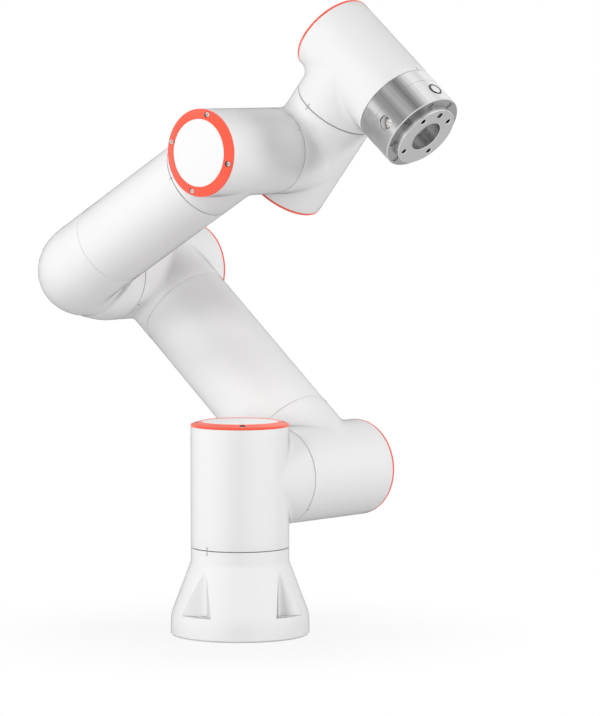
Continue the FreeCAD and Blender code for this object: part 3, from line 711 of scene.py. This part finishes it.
def makeEnd(number, body, size, place):
    # ring: upright rim, face that bows up to the eye by 4 b s (1 - s), wells, rebate below for the cover
    low, radius, eye = size["cover"], size["radius"], size["eye"]
    outside, inside = radius - ringForm["inset"], eye + ringForm["inset"]
    start, end = low + ringForm["rim"] + ringForm["faceUp"], low + ringForm["high"] - ringForm["faceDown"]
    turns = np.radians(ringForm["turns"])
    sectors, angles = sectorsOf([(turn, ringForm["span"], 10, "screw") for turn in turns], math.radians(3))

    def face(v, angle):
        # height over the share s of the way from the rim to the eye
        share = (outside - v) / (outside - inside)
        return polar(v, angle, start + (end - start) * share + ringForm["bulge"] * 4 * share * (1 - share))

    holes = {"screw": (ringForm["hole"], lambda turn: flatFace(size["screwCircle"], turn))}
    patches, rims = piercedBand(np.linspace(outside, inside, ringForm["rows"]), sectors, holes, face)
    keys = ("seat", "start", "rebateHigh", "high", "rim")
    seat, bottom, step, top, rimHigh = [low + ringForm[key] for key in keys]
    patches += [well(rim, (0, 0, 1), seat, ringForm["lip"]) for turn, kind, rim in rims]
    brim = eye + ringForm["rebate"]
    profile = rounded([(inside, end, 0), (eye, top, ringForm["inset"]), (eye, step, 0), (brim, step, 0),
                       (brim, bottom, 0), (radius, bottom, ringForm["edge"]),
                       (radius, rimHigh, ringForm["rimEdge"]), (outside, start, 0)])
    patches.append(turnedAt(profile, angles))
    prefix = "joint_" + str(number)
    ring = buildPiece(prefix + "_ring", patches, body, [prefix + "_cover_ring"],
                      redMoulding, own=place)
    spots = ringPlaces(size["screwCircle"], turns, seat, turns + ringForm["screwTurn"] + number)
    # painted shade on the walls of the screw wells
    wall = ringForm["hole"] - ringForm["lip"] + 0.05
    paintPitShade(ring, place, spots, 0, wall, ringForm["high"], 0.5)
    edge, brim, soft = eye - coverForm["gap"], brim - coverForm["brimGap"], coverForm["brimEdge"]
    start, step, top = [low + coverForm[key] for key in ("start", "brimHigh", "high")]
    turnedPiece(prefix + "_disc", [(0, top, 0), (edge, top, coverForm["edge"]), (edge, step, 0),
                                   (brim, step, soft), (brim, start, soft), (0, start, 0)],
                body, prefix + "_cover", whiteMoulding, place, coverForm["columns"])
    makeScrews(prefix + "_screws", screwForm, body, prefix + "_cover_screws", screwSteel, spots, place)


for number, (body, size, place) in enumerate(jointPlaces, 1):
    makeEnd(number, body, size, place)
print("joint ends built")


# Base: conical foot with four wedge pockets for the mounting bolts and a socket at the back
base = {"foot": 64.0, "neck": 45.4, "coneLow": 18.1, "coneHigh": 67.6, "footRound": 40.0, "neckRound": 10.0,
        "edge": 1.5, "ledge": 20.9, "apex": 47.1, "mouth": 60.5, "halfWidth": 18.3, "cornerRound": 4.3,
        "hole": 3.3, "holeCircle": 56.0, "holeBand": 6.0, "recess": 43.2, "recessHigh": 3.5, "cavity": 38.0,
        "cavityHigh": 72.0, "socketHigh": 34.0, "socketHole": 11.0, "socketFlat": 12.0, "socketFace": 56.0,
        "socketRound": 13.0, "socketBand": 16.0, "socketQuarter": 1, "top": 80.3, "lip": 0.3,
        "corner": 28.5, "lowRow": 13.0, "highRow": 47.0, "crowding": 1.25, "ledgeColumns": 24,
        "sideColumns": 8, "cornerColumns": 16, "footRows": 4, "lowRows": 9, "pocketRows": 27,
        "peakRows": 14, "neckRows": 26, "wallRows": 12}
quarters = [k * quarter for k in range(4)]


def baseRadius(z):
    # foot, arc of the foot's round, straight cone, arc of the neck's round, neck
    slope = math.atan2(base["foot"] - base["neck"], base["coneHigh"] - base["coneLow"])
    reach, rise = math.tan(slope / 2), math.cos(slope)
    footStart = base["coneLow"] - base["footRound"] * reach
    footEnd = base["coneLow"] + base["footRound"] * reach * rise
    neckStart = base["coneHigh"] - base["neckRound"] * reach * rise
    neckEnd = base["coneHigh"] + base["neckRound"] * reach
    footBow = np.sqrt(np.maximum(base["footRound"] ** 2 - (z - footStart) ** 2, 0))
    neckBow = np.sqrt(np.maximum(base["neckRound"] ** 2 - (z - neckEnd) ** 2, 0))
    foot = base["foot"] - base["footRound"] + footBow
    neck = base["neck"] + base["neckRound"] - neckBow
    cone = base["foot"] - (z - base["coneLow"]) * math.tan(slope)
    return np.select([z <= footStart, z <= footEnd, z <= neckStart, z <= neckEnd],
                     [base["foot"] + 0 * z, foot, cone, neck], base["neck"] + 0 * z)


def onBase(v, angle):
    # the foot's outside: (r(v) cos a, r(v) sin a, v)
    return polar(baseRadius(v), angle, v)


def heightAt(radius):
    # the cone's height at a radius, found on a fine table of the profile
    z = np.linspace(base["ledge"], base["coneHigh"] + 4, 4000)
    return np.interp(-radius, -baseRadius(z), z)


def spun(patch, angle):
    # the patch turned round Z by the angle
    way = (math.cos(angle), math.sin(angle), 0)
    return patch @ placeOf((0, 0, 0), upright, way)[0].T


def pocketPath(count):
    # plan of a pocket: straight wall, corner arc and straight wall; its points crowd towards the corner
    run, rise, bend = base["mouth"] - base["apex"], base["halfWidth"], base["cornerRound"]
    lean = math.atan2(rise, run)
    way = (math.cos(lean), math.sin(lean))
    tangent, centre = bend / math.tan(lean), base["apex"] + bend / math.sin(lean)
    limit = float(baseRadius(np.array(base["ledge"])))
    bow = bend * (quarter - lean)
    x0, y0 = base["apex"] + tangent * way[0], tangent * way[1]
    along = x0 * way[0] + y0 * way[1]
    wallLength = -along + math.sqrt(along ** 2 + limit ** 2 - x0 ** 2 - y0 ** 2)
    share = np.linspace(-1, 1, count)
    s = np.abs(share) ** base["crowding"] * (bow + wallLength)
    turn = np.minimum(s, bow) / bend
    x = np.where(s > bow, x0 + (s - bow) * way[0], centre - bend * np.cos(turn))
    y = np.where(s > bow, y0 + (s - bow) * way[1], bend * np.sin(turn))
    return x, y * np.sign(share)


def ledgeWithHole(outline):
    # floor of a pocket, (1-t) outline + t circle, then the bolt hole's lip and wall down to the underside
    toCentre = outline - (base["holeCircle"], 0)
    loop = np.append(np.arange(len(outline)), 0)
    aim = np.arctan2(toCentre[:, 1], toCentre[:, 0])[loop]
    circle = base["hole"] + base["lip"]
    share = np.linspace(0, 1, 6)[:, None]
    x = (1 - share) * outline[loop, 0] + share * (base["holeCircle"] + circle * np.cos(aim))
    y = (1 - share) * outline[loop, 1] + share * circle * np.sin(aim)
    wall = turnedAt(rounded([(circle, base["ledge"], 0), (base["hole"], base["ledge"], base["lip"]),
                             (base["hole"], 0, 0)]), aim)
    return [np.stack([x, y, base["ledge"] + 0 * x], -1), wall + (base["holeCircle"], 0, 0)]


def cornerPatches(angles, rows, socket):
    # the sector between two pockets, from the foot to the neck; one of them carries the cable socket's seat
    if not socket:
        return [overGrid(onBase, rows, angles)]
    middle, reach, turn = base["socketHigh"], base["socketBand"], angles.mean()
    low, high = [rows[np.abs(rows - middle - step).argmin()] for step in (-reach, reach)]
    block = pierce(rows[(rows >= low) & (rows <= high)], angles, sideFace(middle, turn, baseRadius),
                   base["socketRound"], onBase, 6)
    way = np.array([math.cos(turn), math.sin(turn), 0])
    side = np.cross(upright, way)
    rim = block[-1]
    spread = np.arctan2(rim @ side, rim[:, 2] - middle)

    def seatRow(radius):
        # a circle round the socket's axis, on the foot's side or on the flat seat, whichever is further in
        z, y = middle + radius * np.cos(spread), radius * np.sin(spread)
        reach = np.minimum(np.sqrt(baseRadius(z) ** 2 - y ** 2), base["socketFace"])
        return reach[:, None] * way + y[:, None] * side + z[:, None] * upright

    inner = seatRow(base["socketHole"])
    back = inner + way * (base["cavity"] - (inner @ way)[:, None])
    seat = np.stack([rim, seatRow(base["socketRound"]), seatRow(base["socketFlat"]), inner, back,
                     back * 0 + back[:-1].mean(0)])
    strips = [overGrid(onBase, part, angles) for part in (rows[rows <= low], rows[rows >= high])]
    return [*strips, block, seat]


def underside(angles, arc):
    # foot's edge, flat ring with the four bolt holes, recess for the plate and the closed cavity
    rim, inner = base["foot"] - base["edge"], base["holeCircle"] - base["holeBand"]
    patches = [turnedAt([(base["foot"], base["edge"]), (rim, 0)], angles),
               overGrid(flatAt(0.0), np.linspace(inner, base["recess"], 3), angles),
               turnedAt([(base["recess"], 0), (base["recess"], base["recessHigh"]),
                         (base["cavity"], base["recessHigh"]), (base["cavity"], base["cavityHigh"]),
                         (0, base["cavityHigh"])], angles)]
    v = np.linspace(rim, inner, 8)
    for turn in quarters:
        start, end = turn + arc[-1], turn + quarter + arc[0]
        between = angles[(angles >= start - 1e-9) & (angles <= end + 1e-9)]
        patches.append(overGrid(flatAt(0.0), v, between))
        patches.append(pierce(v, arc + turn, flatFace(base["holeCircle"], turn), base["hole"], flatAt(0.0)))
    return patches


def makeBase():
    # the foot by quarters: two flanks beside each pocket, the pocket's wall and floor, the corner between
    # two pockets, and the strip below the ledge; then the underside and the top
    columns = base["ledgeColumns"] + 1
    px, py = pocketPath(columns)
    rim = baseRadius(np.array([base["ledge"]]))[0]
    openAt = math.atan2(abs(py[0]), px[0])
    arc = np.linspace(-openAt, openAt, columns)
    wallTop = heightAt(np.hypot(px, py))
    wallTop[[0, -1]] = base["ledge"]
    peak, corner, ledge = wallTop.max(), math.radians(base["corner"]), base["ledge"]
    upper = chain(np.linspace(ledge, base["highRow"], base["pocketRows"]),
                  np.linspace(base["highRow"], peak, base["peakRows"]),
                  np.linspace(peak, base["top"] - base["lip"], base["neckRows"]))
    lower = chain(np.linspace(base["edge"], base["lowRow"], base["footRows"]),
                  np.linspace(base["lowRow"], ledge, base["lowRows"]))
    side = np.linspace(0, 1, base["sideColumns"] + 1)
    half = slice(columns // 2, None)
    edgeAngle = np.interp(baseRadius(upper), np.hypot(px, py)[half], np.arctan2(py, px)[half])
    edgeAngle[upper >= peak] = 0.0
    flank = edgeAngle[:, None] + (corner - edgeAngle[:, None]) * side
    flanks = [onBase(upper[:, None] + 0 * flank, sign * flank) for sign in (1, -1)]
    share = np.linspace(0, 1, base["wallRows"])[:, None]
    wall = np.stack([px + 0 * share, py + 0 * share, ledge + share * (wallTop - ledge)], -1)
    mouth = np.stack([rim * np.cos(arc), rim * np.sin(arc)], -1)
    outline = np.concatenate([np.stack([px, py], -1)[:-1], mouth[::-1][:-1]])
    sideAngles = openAt + (corner - openAt) * side
    cornerAngles = np.linspace(corner, quarter - corner, base["cornerColumns"] + 1)
    lowAngles = chain(-sideAngles[::-1], arc, sideAngles)
    patches = []
    for number, turn in enumerate(quarters):
        patches += [spun(patch, turn) for patch in [*flanks, wall, *ledgeWithHole(outline)]]
        patches += cornerPatches(cornerAngles + turn, chain(lower, upper), number == base["socketQuarter"])
        patches.append(overGrid(onBase, lower, lowAngles + turn))
    once = chain(arc, sideAngles, cornerAngles, quarter - sideAngles[::-1])[:-1]
    patches += underside(np.concatenate([once + turn for turn in quarters] + [[fullTurn - openAt]]), arc)
    once = chain(corner * side, cornerAngles, (quarter - corner * side)[::-1])[:-1]
    top = rounded([(base["neck"], base["top"] - base["lip"], 0), (base["neck"], base["top"], base["lip"]),
                   (0, base["top"], 0)])
    patches.append(turnedAt(top, np.concatenate([once + turn for turn in quarters] + [[fullTurn]])))
    buildPiece("base_foot", patches, "base", ["base_casting"], whitePaint, sharp=35)


makeBase()
print("base built")


# Tool end: rear ring, body with the button and the connector, and the mounting flange
toolEnd = {"start": 53.6, "split": 67.4, "front": 94.0, "radius": 40.0, "lip": 39.3, "chamfer": 0.7,
           "reach": 100.0, "disc": 31.5, "boss": 29.0, "bossGap": 0.2, "bossBack": 80.0, "bore": 15.75,
           "boreFloor": 84.0, "core": 33.0, "back": 74.0, "shaftHole": 12.0, "ringWall": 6.0,
           "ringRow": 60.0, "seamRound": 0.25, "seamDark": 0.4, "frontCircle": 34.5, "frontHole": 2.8,
           "frontDepth": 1.8, "frontLip": 0.15, "frontSpan": 0.125, "fitting": 80.0, "fittingBand": 9.5,
           "fittingLip": 0.25, "fittingSpan": 0.225, "pocket": 6.6, "pocketFloor": 33.2, "recess": 7.2,
           "recessFloor": 30.5, "shade": 0.3}
frontTurns = np.radians(22.5 + 45 * np.arange(8))


def makeToolBody():
    # side wall with two fitting holes, front face with eight screw wells, core and the seat of the flange
    radius, front, split, lip = [toolEnd[key] for key in ("radius", "front", "split", "lip")]
    fitting, fittingBand, fittingLip = [toolEnd[key] for key in ("fitting", "fittingBand", "fittingLip")]
    blocks = [(turn, toolEnd["frontSpan"], 10, "screw") for turn in frontTurns]
    sides = ((quarter, "pocket"), (math.pi, "recess"))
    blocks += [(turn, toolEnd["fittingSpan"], 16, kind) for turn, kind in sides]
    sectors, angles = sectorsOf(blocks, math.radians(3.5))
    v = np.linspace(fitting - fittingBand, fitting + fittingBand, 15)

    def sideAt(turn):
        # a hole's flat picture on the round side at the fittings' height
        return sideFace(fitting, turn, lambda z: radius + 0 * z)

    holes = {kind: (toolEnd[kind] + fittingLip, sideAt) for kind in ("pocket", "recess")}
    patches, rims = piercedBand(v, sectors, holes, lambda v, angle: polar(radius, angle, v), 6)
    patches += [well(rim, (math.cos(turn), math.sin(turn), 0), toolEnd[kind + "Floor"], fittingLip)
                for turn, kind, rim in rims]
    seat = toolEnd["boss"] + toolEnd["bossGap"]
    flat = np.linspace(lip - 0.5, seat + 1.0, 8)
    holes = {"screw": (toolEnd["frontHole"] + toolEnd["frontLip"],
                       lambda turn: flatFace(toolEnd["frontCircle"], turn))}
    face, rims = piercedBand(flat, sectors, holes, flatAt(front))
    patches += face
    patches += [well(rim, (0, 0, 1), front - toolEnd["frontDepth"], toolEnd["frontLip"])
                for turn, kind, rim in rims]
    core, back, seamRound = [toolEnd[key] for key in ("core", "back", "seamRound")]
    lower = rounded([(0, back, 0), (core, back, 0.3), (core, split, 0), (radius, split, seamRound),
                     (radius, v[0], 0)])
    upper = rounded([(radius, v[-1], 0), (radius, front - toolEnd["chamfer"], 0.15), (lip, front, 0.1),
                     (flat[0], front, 0)])
    inner = rounded([(flat[-1], front, 0), (seat, front, 0.3), (seat, toolEnd["bossBack"], 0),
                     (0, toolEnd["bossBack"], 0)])
    patches += [turnedAt(profile, angles) for profile in (lower, upper, inner)]
    piece = buildPiece("tool_housing", patches, "tool_end", ["tool_body"],
                       turnedAluminium, own=toolPlace, sharp=30)
    # painted shade in the front screw wells, round the flange's boss and on the edge at the split
    shade = toolEnd["shade"]
    spots = ringPlaces(toolEnd["frontCircle"], frontTurns)
    paintPitShade(piece, toolPlace, spots, 0, toolEnd["frontHole"] + 0.3, front, shade)
    paintPitShade(piece, toolPlace, [home], toolEnd["boss"], toolEnd["boss"] + 0.4, front, shade)
    paintPitShade(piece, toolPlace, [home], radius - 0.3, radius + 1, split + seamRound, toolEnd["seamDark"])


def makeRearRing():
    # a turned ring between the last casting and the body, with painted shade on its edge at the split
    start, split, radius, core, hole, seamRound = [
        toolEnd[key] for key in ("start", "split", "radius", "core", "shaftHole", "seamRound")]
    inner = start + toolEnd["ringWall"]
    profile = [(hole, start, 0), (radius, start, seamRound), (radius, toolEnd["ringRow"], 0),
               (radius, split, seamRound), (core, split, 0.2), (core, inner, 0), (hole, inner, 0),
               (hole, start, 0)]
    piece = turnedPiece("tool_ring", profile, "tool_end", "tool_rear_ring",
                        turnedAluminium, toolPlace, 144, 30)
    paintPitShade(piece, toolPlace, [turnedOver], radius - 0.3, radius + 1, seamRound - split,
               toolEnd["seamDark"])


flange = {"circle": 25.0, "reflectionAndBrushing": 4.6, "thread": 2.5, "threadDepth": 0.45, "turns": 9, "mouth": 3.2,
          "depth": 12.0, "dowel": 3.0, "dowelMouth": 3.15, "dowelDepth": 8.0, "edge": 0.5, "span": 0.19,
          "boreRow": 92.0, "floorRow": 6.0}


def holeRows(kind):
    # a hole's rows as (radius, depth): mouth, wall and cone; a thread zigzags once each millimetre
    if kind == "dowel":
        mouth, radius, depth = flange["dowelMouth"], flange["dowel"], flange["dowelDepth"]
    else:
        mouth, radius, depth = flange["mouth"], flange["thread"], flange["depth"]
    rows = [(mouth, 0.0), (radius, mouth - radius)]
    for turn in range(flange["turns"] if kind == "thread" else 0):
        deep = mouth - radius + 0.25 + turn
        rows += [(radius, deep), (radius + flange["threadDepth"], deep + 0.5)]
    rows += [(radius, depth), (radius * 0.5, depth + 0.6), (0.0, depth + 1.2)]
    return np.array(rows) / (mouth, 1)


def makeFlange():
    # disc with its pilot bore; four threaded holes and the dowel hole on one circle
    reach, disc, boss, bore = [toolEnd[key] for key in ("reach", "disc", "boss", "bore")]
    turns = np.radians([45, 90, 135, 225, 315])
    kinds = ["dowel" if number == 1 else "thread" for number in range(len(turns))]
    sectors, angles = sectorsOf([(turn, flange["span"], 12, kind) for turn, kind in zip(turns, kinds)],
                                math.radians(4))

    def faceAt(turn):
        # a hole's flat picture on the disc's face
        return flatFace(flange["circle"], turn)

    v = np.linspace(flange["circle"] + flange["reflectionAndBrushing"], flange["circle"] - flange["reflectionAndBrushing"], 11)
    holes = {"thread": (flange["mouth"], faceAt), "dowel": (flange["dowelMouth"], faceAt)}
    patches, rims = piercedBand(v, sectors, holes, flatAt(reach))
    for turn, kind, rim in rims:
        centre, rows = rim[:-1].mean(0), holeRows(kind)
        patches.append(np.stack([centre + (rim - centre) * scale - (0, 0, deep) for scale, deep in rows]))
    back, front, floor = [toolEnd[key] for key in ("bossBack", "front", "boreFloor")]
    edge, boreRow, floorRow = [flange[key] for key in ("edge", "boreRow", "floorRow")]
    outer = rounded([(0, back, 0), (boss, back, 0.3), (boss, front, 0), (disc, front, 0.2),
                     (disc, reach, edge), (v[0], reach, 0)])
    inner = rounded([(v[-1], reach, 0), (bore, reach, edge), (bore, boreRow, 0), (bore, floor, 0.3),
                     (floorRow, floor, 0), (0, floor, 0)])
    patches += [turnedAt(outer, angles), turnedAt(inner, angles)]
    piece = buildPiece("flange_disc", patches, "tool_end", ["tool_flange"],
                       facedAluminium, own=toolPlace, sharp=30)
    # painted shade in the threaded holes and the dowel hole
    paintPitShade(piece, toolPlace, ringPlaces(flange["circle"], turns), 0, flange["mouth"] - 0.2, reach, 1.0)


frontScrew = {"head": 1.95, "high": 1.7, "edge": 0.25, "key": 0.95, "keyDepth": 1.0, "shank": 1.25,
              "length": 7.0, "fade": 0.3}
makeToolBody()
makeRearRing()
makeFlange()
frontSpots = ringPlaces(toolEnd["frontCircle"], frontTurns, toolEnd["front"] - toolEnd["frontDepth"],
                        frontTurns + np.arange(8))
makeScrews("front_screws", frontScrew, "tool_end", "tool_body_screws", boltSteel, frontSpots, toolPlace)


def sidePlace(turn):
    # a fitting in the tool end's side: its Z leaves the body at the given angle
    way = (math.cos(turn), math.sin(turn), 0)
    return within(toolPlace, placeOf((0, 0, toolEnd["fitting"]), way, upright))


def makePins(name, node, pins, body, place):
    # round-ended pins at even angles on a circle, and one more in the middle where it is asked for
    count, circle, radius, low, high, middle = pins
    spots = ringPlaces(circle, fullTurn * np.arange(count) / count) + [home] * middle
    pin = turned(rounded([(0, low, 0), (radius, low, 0), (radius, high, radius * 0.45), (0, high, 0)]), 20)
    buildPiece(name, [pin], body, [node], contactGold, own=place, places=spots)


# Push button in its ring, as (distance from the axis, height from the tool's axis, rounding)
buttonPlace = sidePlace(quarter)
button = {"cap": [(0, 35, 0), (5.8, 35, 0.1), (5.8, 36.6, 0.1), (5.0, 36.6, 0), (5.0, 40.2, 0.4),
                  (2.5, 40.42, 1.0), (0, 40.45, 0)],
          "ring": [(6.1, 33.2, 0), (6.5, 33.2, 0), (6.5, 40.3, 0.2), (5.3, 40.3, 0.2), (5.3, 36.9, 0),
                   (6.1, 36.9, 0), (6.1, 33.2, 0)]}
turnedPiece("push_button", button["cap"], "button", "tool_button", buttonMoulding,
            buttonPlace)
turnedPiece("button_ring", button["ring"], "tool_end", "button_bezel", blackMoulding,
            buttonPlace)

# Tool connector: threaded sleeve, insert and eight pins, which are given as their number on the circle, the
# circle's radius, their radius, low and high end, and how many stand in the middle
connectorPlace = sidePlace(math.pi)
connector = {"thread": [(5.7 + 0.35 * (k % 2), 38.2 - 0.4 * k, 0) for k in range(14)],
             "insert": [(0, 30.5, 0), (5.6, 30.5, 0), (5.6, 32.5, 0.3), (0, 32.5, 0)],
             "pins": (7, 3.6, 0.5, 32.5, 34.5, 1)}
sleeve = [(5.7, 30.5, 0), (7.0, 30.5, 0), (7.0, 38.5, 0.25), (5.9, 38.5, 0), *connector["thread"],
          (5.7, 30.5, 0)]
turnedPiece("connector_sleeve", sleeve, "tool_end", "connector_shell", sleeveSteel,
            connectorPlace)
turnedPiece("connector_core", connector["insert"], "tool_end", "connector_insert",
            paleMoulding, connectorPlace, 48)
makePins("connector_contacts", "connector_pins", connector["pins"], "tool_end", connectorPlace)

# Cable socket in the back of the foot: sleeve with its thread outside, insert and six pins
socketTurn = base["socketQuarter"] * quarter + math.pi / 4
socketPlace = placeOf((0, 0, base["socketHigh"]), (math.cos(socketTurn), math.sin(socketTurn), 0), upright)
socket = {"thread": [(10.8 - 0.4 * (k % 2), 60.6 - 0.5 * (4 - k), 0) for k in range(5)],
          "insert": [(0, 50, 0), (8.1, 50, 0), (8.1, 52, 0.3), (0, 52, 0)],
          "pins": (6, 5.0, 0.8, 52.0, 54.5, 0)}
sleeve = [(6, 48, 0), (10.8, 48, 0), (10.8, 56, 0), (12.5, 56, 0.2), (12.5, 58, 0.4), (10.8, 58, 0),
          *socket["thread"], (10.6, 61, 0.2), (8.2, 61, 0.2), (8.2, 50, 0), (6, 50, 0), (6, 48, 0)]
turnedPiece("base_socket_sleeve", sleeve, "base", "base_socket_shell", screwSteel,
            socketPlace, 80)
turnedPiece("base_socket_core", socket["insert"], "base", "base_socket_insert",
            blackMoulding, socketPlace)
makePins("base_socket_contacts", "base_socket_pins", socket["pins"], "base", socketPlace)
print("tool end built")


# Small line marks across the seams, one half on each side
mark = {"width": 0.75, "proud": 0.06, "sunk": 0.3, "columns": 6}


def makeMark(name, body, place, radius, start, end):
    # a thin curved slab on a cylinder round Z, from one height to the other
    half = mark["width"] / 2 / radius
    low, high = radius - mark["sunk"], radius + mark["proud"]
    skin = turnedAt([(low, start), (high, start), (high, end), (low, end), (low, start)],
                    np.linspace(-half, half, mark["columns"] + 1))
    caps = [np.stack([skin[:2, column], skin[3:1:-1, column]]) for column in (0, -1)]
    buildPiece(name, [skin, *caps], body, [], markInk, own=place)


below = inPlane(-40.3)
onBaseSeam = placeOf((0, 0, 0), upright, (0, -1, 0))
onShoulder = placeOf(shoulderPoint, across, below)
onElbow = placeOf(elbowPoint - across * arm["foreOffset"], across, below)
onWrist = placeOf(foreEnd - across * arm["foreOffset"], across, foreWay)
onTurn = placeOf(wristPoint, wristWay, -across)
onTool = placeOf(toolPoint, toolWay, wristWay)
onUpper = placeOf(upperStart, upperWay, (0.647, 0, 0.763))
onFore = placeOf(elbowPoint, foreWay, (0.496, 0, -0.868))
onForeSide = placeOf(elbowPoint, foreWay, -across)
# Name, body, place, the cylinder's radius, and the two heights along its axis
marks = [("mark_1_low", "base", onBaseSeam, 45.4, 76.4, 79.6),
         ("mark_1_high", "shoulder", onBaseSeam, 45.4, 81.3, 84.3),
         ("mark_2", "upper_arm", onShoulder, 45.4, 55.1, 57.2),
         ("mark_3", "upper_arm", onElbow, 45.4, 55.1, 57.2),
         ("mark_4", "forearm", onWrist, 40.0, 46.2, 47.9),
         ("mark_5_low", "wrist_1", onTurn, 40.0, 49.9, 52.7),
         ("mark_5_high", "wrist_2", onTurn, 40.0, 54.3, 57.1),
         ("mark_6_low", "wrist_2", onTool, 40.0, 49.7, 52.9),
         ("mark_6_high", "tool_end", onTool, 40.0, 54.1, 55.1),
         ("mark_7", "upper_arm", onUpper, 45.0, 51.4, 54.5),
         ("mark_8_low", "forearm", onFore, 40.0, 193.0, 194.3),
         ("mark_8_high", "forearm", onFore, 40.0, 195.3, 196.6),
         ("mark_9_low", "forearm", onForeSide, 40.0, 192.6, 194.2),
         ("mark_9_high", "forearm", onForeSide, 40.0, 195.3, 196.9)]
for values in marks:
    makeMark(*values)
print("marks built")

# The inner pieces keep the shapes of the solids and get their own metal
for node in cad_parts.values():
    cast = node.name.endswith(("_drive", "_output_flange"))
    node.data.materials.clear()
    node.data.materials.append(darkSteel if cast else screwSteel)


def setDown(name, data, right, up, away, where):
    # an object in metres whose X, Y and Z point right, up and away
    thing = bpy.data.objects.new(name, data)
    thing.matrix_world = Matrix([[right[i], up[i], away[i], where[i]] for i in range(3)] + [[0, 0, 0, 1]])
    bpy.context.scene.collection.objects.link(thing)
    return thing


# Camera: degrees round and down, millimetres; the lens is its focal length over the picture's height
camera = {"azimuth": 40.84, "elevation": 4.75, "distance": 3693.16, "aimRight": 55.33, "aimUp": 230.0,
          "focal": 5.608226257, "sensor": 36, "shift": 0.0380726257, "farthest": 50}
azimuth, elevation = math.radians(camera["azimuth"]), math.radians(camera["elevation"])
rightWay = np.array([math.cos(azimuth), math.sin(azimuth), 0])
levelWay = np.array([-math.sin(azimuth), math.cos(azimuth), 0])
lookWay = math.cos(elevation) * levelWay - math.sin(elevation) * upright
spot = rightWay * camera["aimRight"] + upright * camera["aimUp"] - lookWay * camera["distance"]
lens = bpy.data.cameras.new("camera")
lens.lens = camera["focal"] * camera["sensor"]
lens.shift_y = camera["shift"]
lens.clip_end = camera["farthest"]
upWay = np.cross(rightWay, lookWay)
bpy.context.scene.camera = setDown("camera", lens, rightWay, upWay, -lookWay, spot * 0.001)


def seenRays(tree):
    # 1 for the rays that show the plain ground (camera, glossy, transmission), 0 for the light on surfaces
    rays = addNode(tree, "ShaderNodeLightPath").outputs
    plain = combine(tree, "MAXIMUM", rays["Is Camera Ray"], rays["Is Glossy Ray"])
    return combine(tree, "MAXIMUM", plain, rays["Is Transmission Ray"])


# World: plain white where it is seen, dimmer where it lights the arm
world = bpy.data.worlds.new("studio")
bpy.context.scene.world = world
world.use_nodes = True
worldLight = {"ambient": 0.24, "seen": 1.0}
tree = world.node_tree
strength = ranged(tree, seenRays(tree), 0.0, 1.0, worldLight["ambient"], worldLight["seen"])
feed(tree, tree.nodes["Background"], {0: tone(1.0), 1: strength})

# Floor: a lit surface near the foot that fades into the plain white background
floor = {"size": 6.0, "color": 0.65, "roughness": 0.9, "fadeFrom": 0.065, "fadeTo": 0.3, "shade": 0.16}
floorMesh = bpy.data.meshes.new("floor")
signs = ((-1, -1, 0), (1, -1, 0), (1, 1, 0), (-1, 1, 0))
floorMesh.from_pydata(np.array(signs) * floor["size"], [], [(0, 1, 2, 3)])
floorPiece = setDown("floor", floorMesh, (1, 0, 0), (0, 1, 0), (0, 0, 1), (0, 0, 0))
floorMaterial, tree, shader = newMaterial("floorPaper")
feed(tree, shader, {"Base Color": tone(floor["color"]), "Roughness": floor["roughness"],
                    "Specular IOR Level": 0.0})
# shade = how much of the lit surface shows, falling smoothly from fadeFrom to fadeTo metres off the axis
reach = addNode(tree, "ShaderNodeVectorMath", {0: addNode(tree, "ShaderNodeTexCoord").outputs["Object"]},
                operation="LENGTH").outputs["Value"]
shade = addNode(tree, "ShaderNodeMapRange", {0: reach, 1: floor["fadeFrom"], 2: floor["fadeTo"],
                                             3: floor["shade"], 4: 0.0}, interpolation_type="SMOOTHSTEP")
plain = combine(tree, "MULTIPLY", seenRays(tree), combine(tree, "SUBTRACT", 1.0, shade.outputs[0]))
glow = addNode(tree, "ShaderNodeEmission", {"Color": tone(1.0), "Strength": 1.0})
blend = addNode(tree, "ShaderNodeMixShader", {0: plain, 1: shader.outputs[0], 2: glow.outputs[0]})
feed(tree, tree.nodes["Material Output"], {"Surface": blend.outputs[0]})
floorPiece.data.materials.append(floorMaterial)

# Lamps: angle round the object from the camera's side (left is below zero), height angle, and watts
lamps = {"aim": (0.05, 0.05, 0.25), "reach": 3.0, "size": 0.75,
         "boxes": {"key": (-34, 30, 22), "left": (-88, 28, 30), "low": (-32, 2, 26), "side": (86, 13, 48),
                   "high": (60, 50, 15), "back": (172, 28, 26)}}


def softBox(name, turn, lift, watts):
    # a square lamp on a sphere round the aim: out = (cos h cos a) nearer + (cos h sin a) right + (sin h) up
    lamp = bpy.data.lights.new(name, "AREA")
    lamp.shape, lamp.size, lamp.energy = "SQUARE", lamps["size"], watts
    angle, height = math.radians(turn), math.radians(lift)
    level = rightWay * math.sin(angle) - levelWay * math.cos(angle)
    away = level * math.cos(height) + upright * math.sin(height)
    right = np.cross(upright, away)
    right = right / np.linalg.norm(right)
    where = np.array(lamps["aim"]) + away * lamps["reach"]
    box = setDown(name, lamp, right, np.cross(away, right), away, where)
    box.visible_glossy = False


for name, values in lamps["boxes"].items():
    softBox(name, *values)

bpy.context.scene.view_settings.view_transform = "Standard"
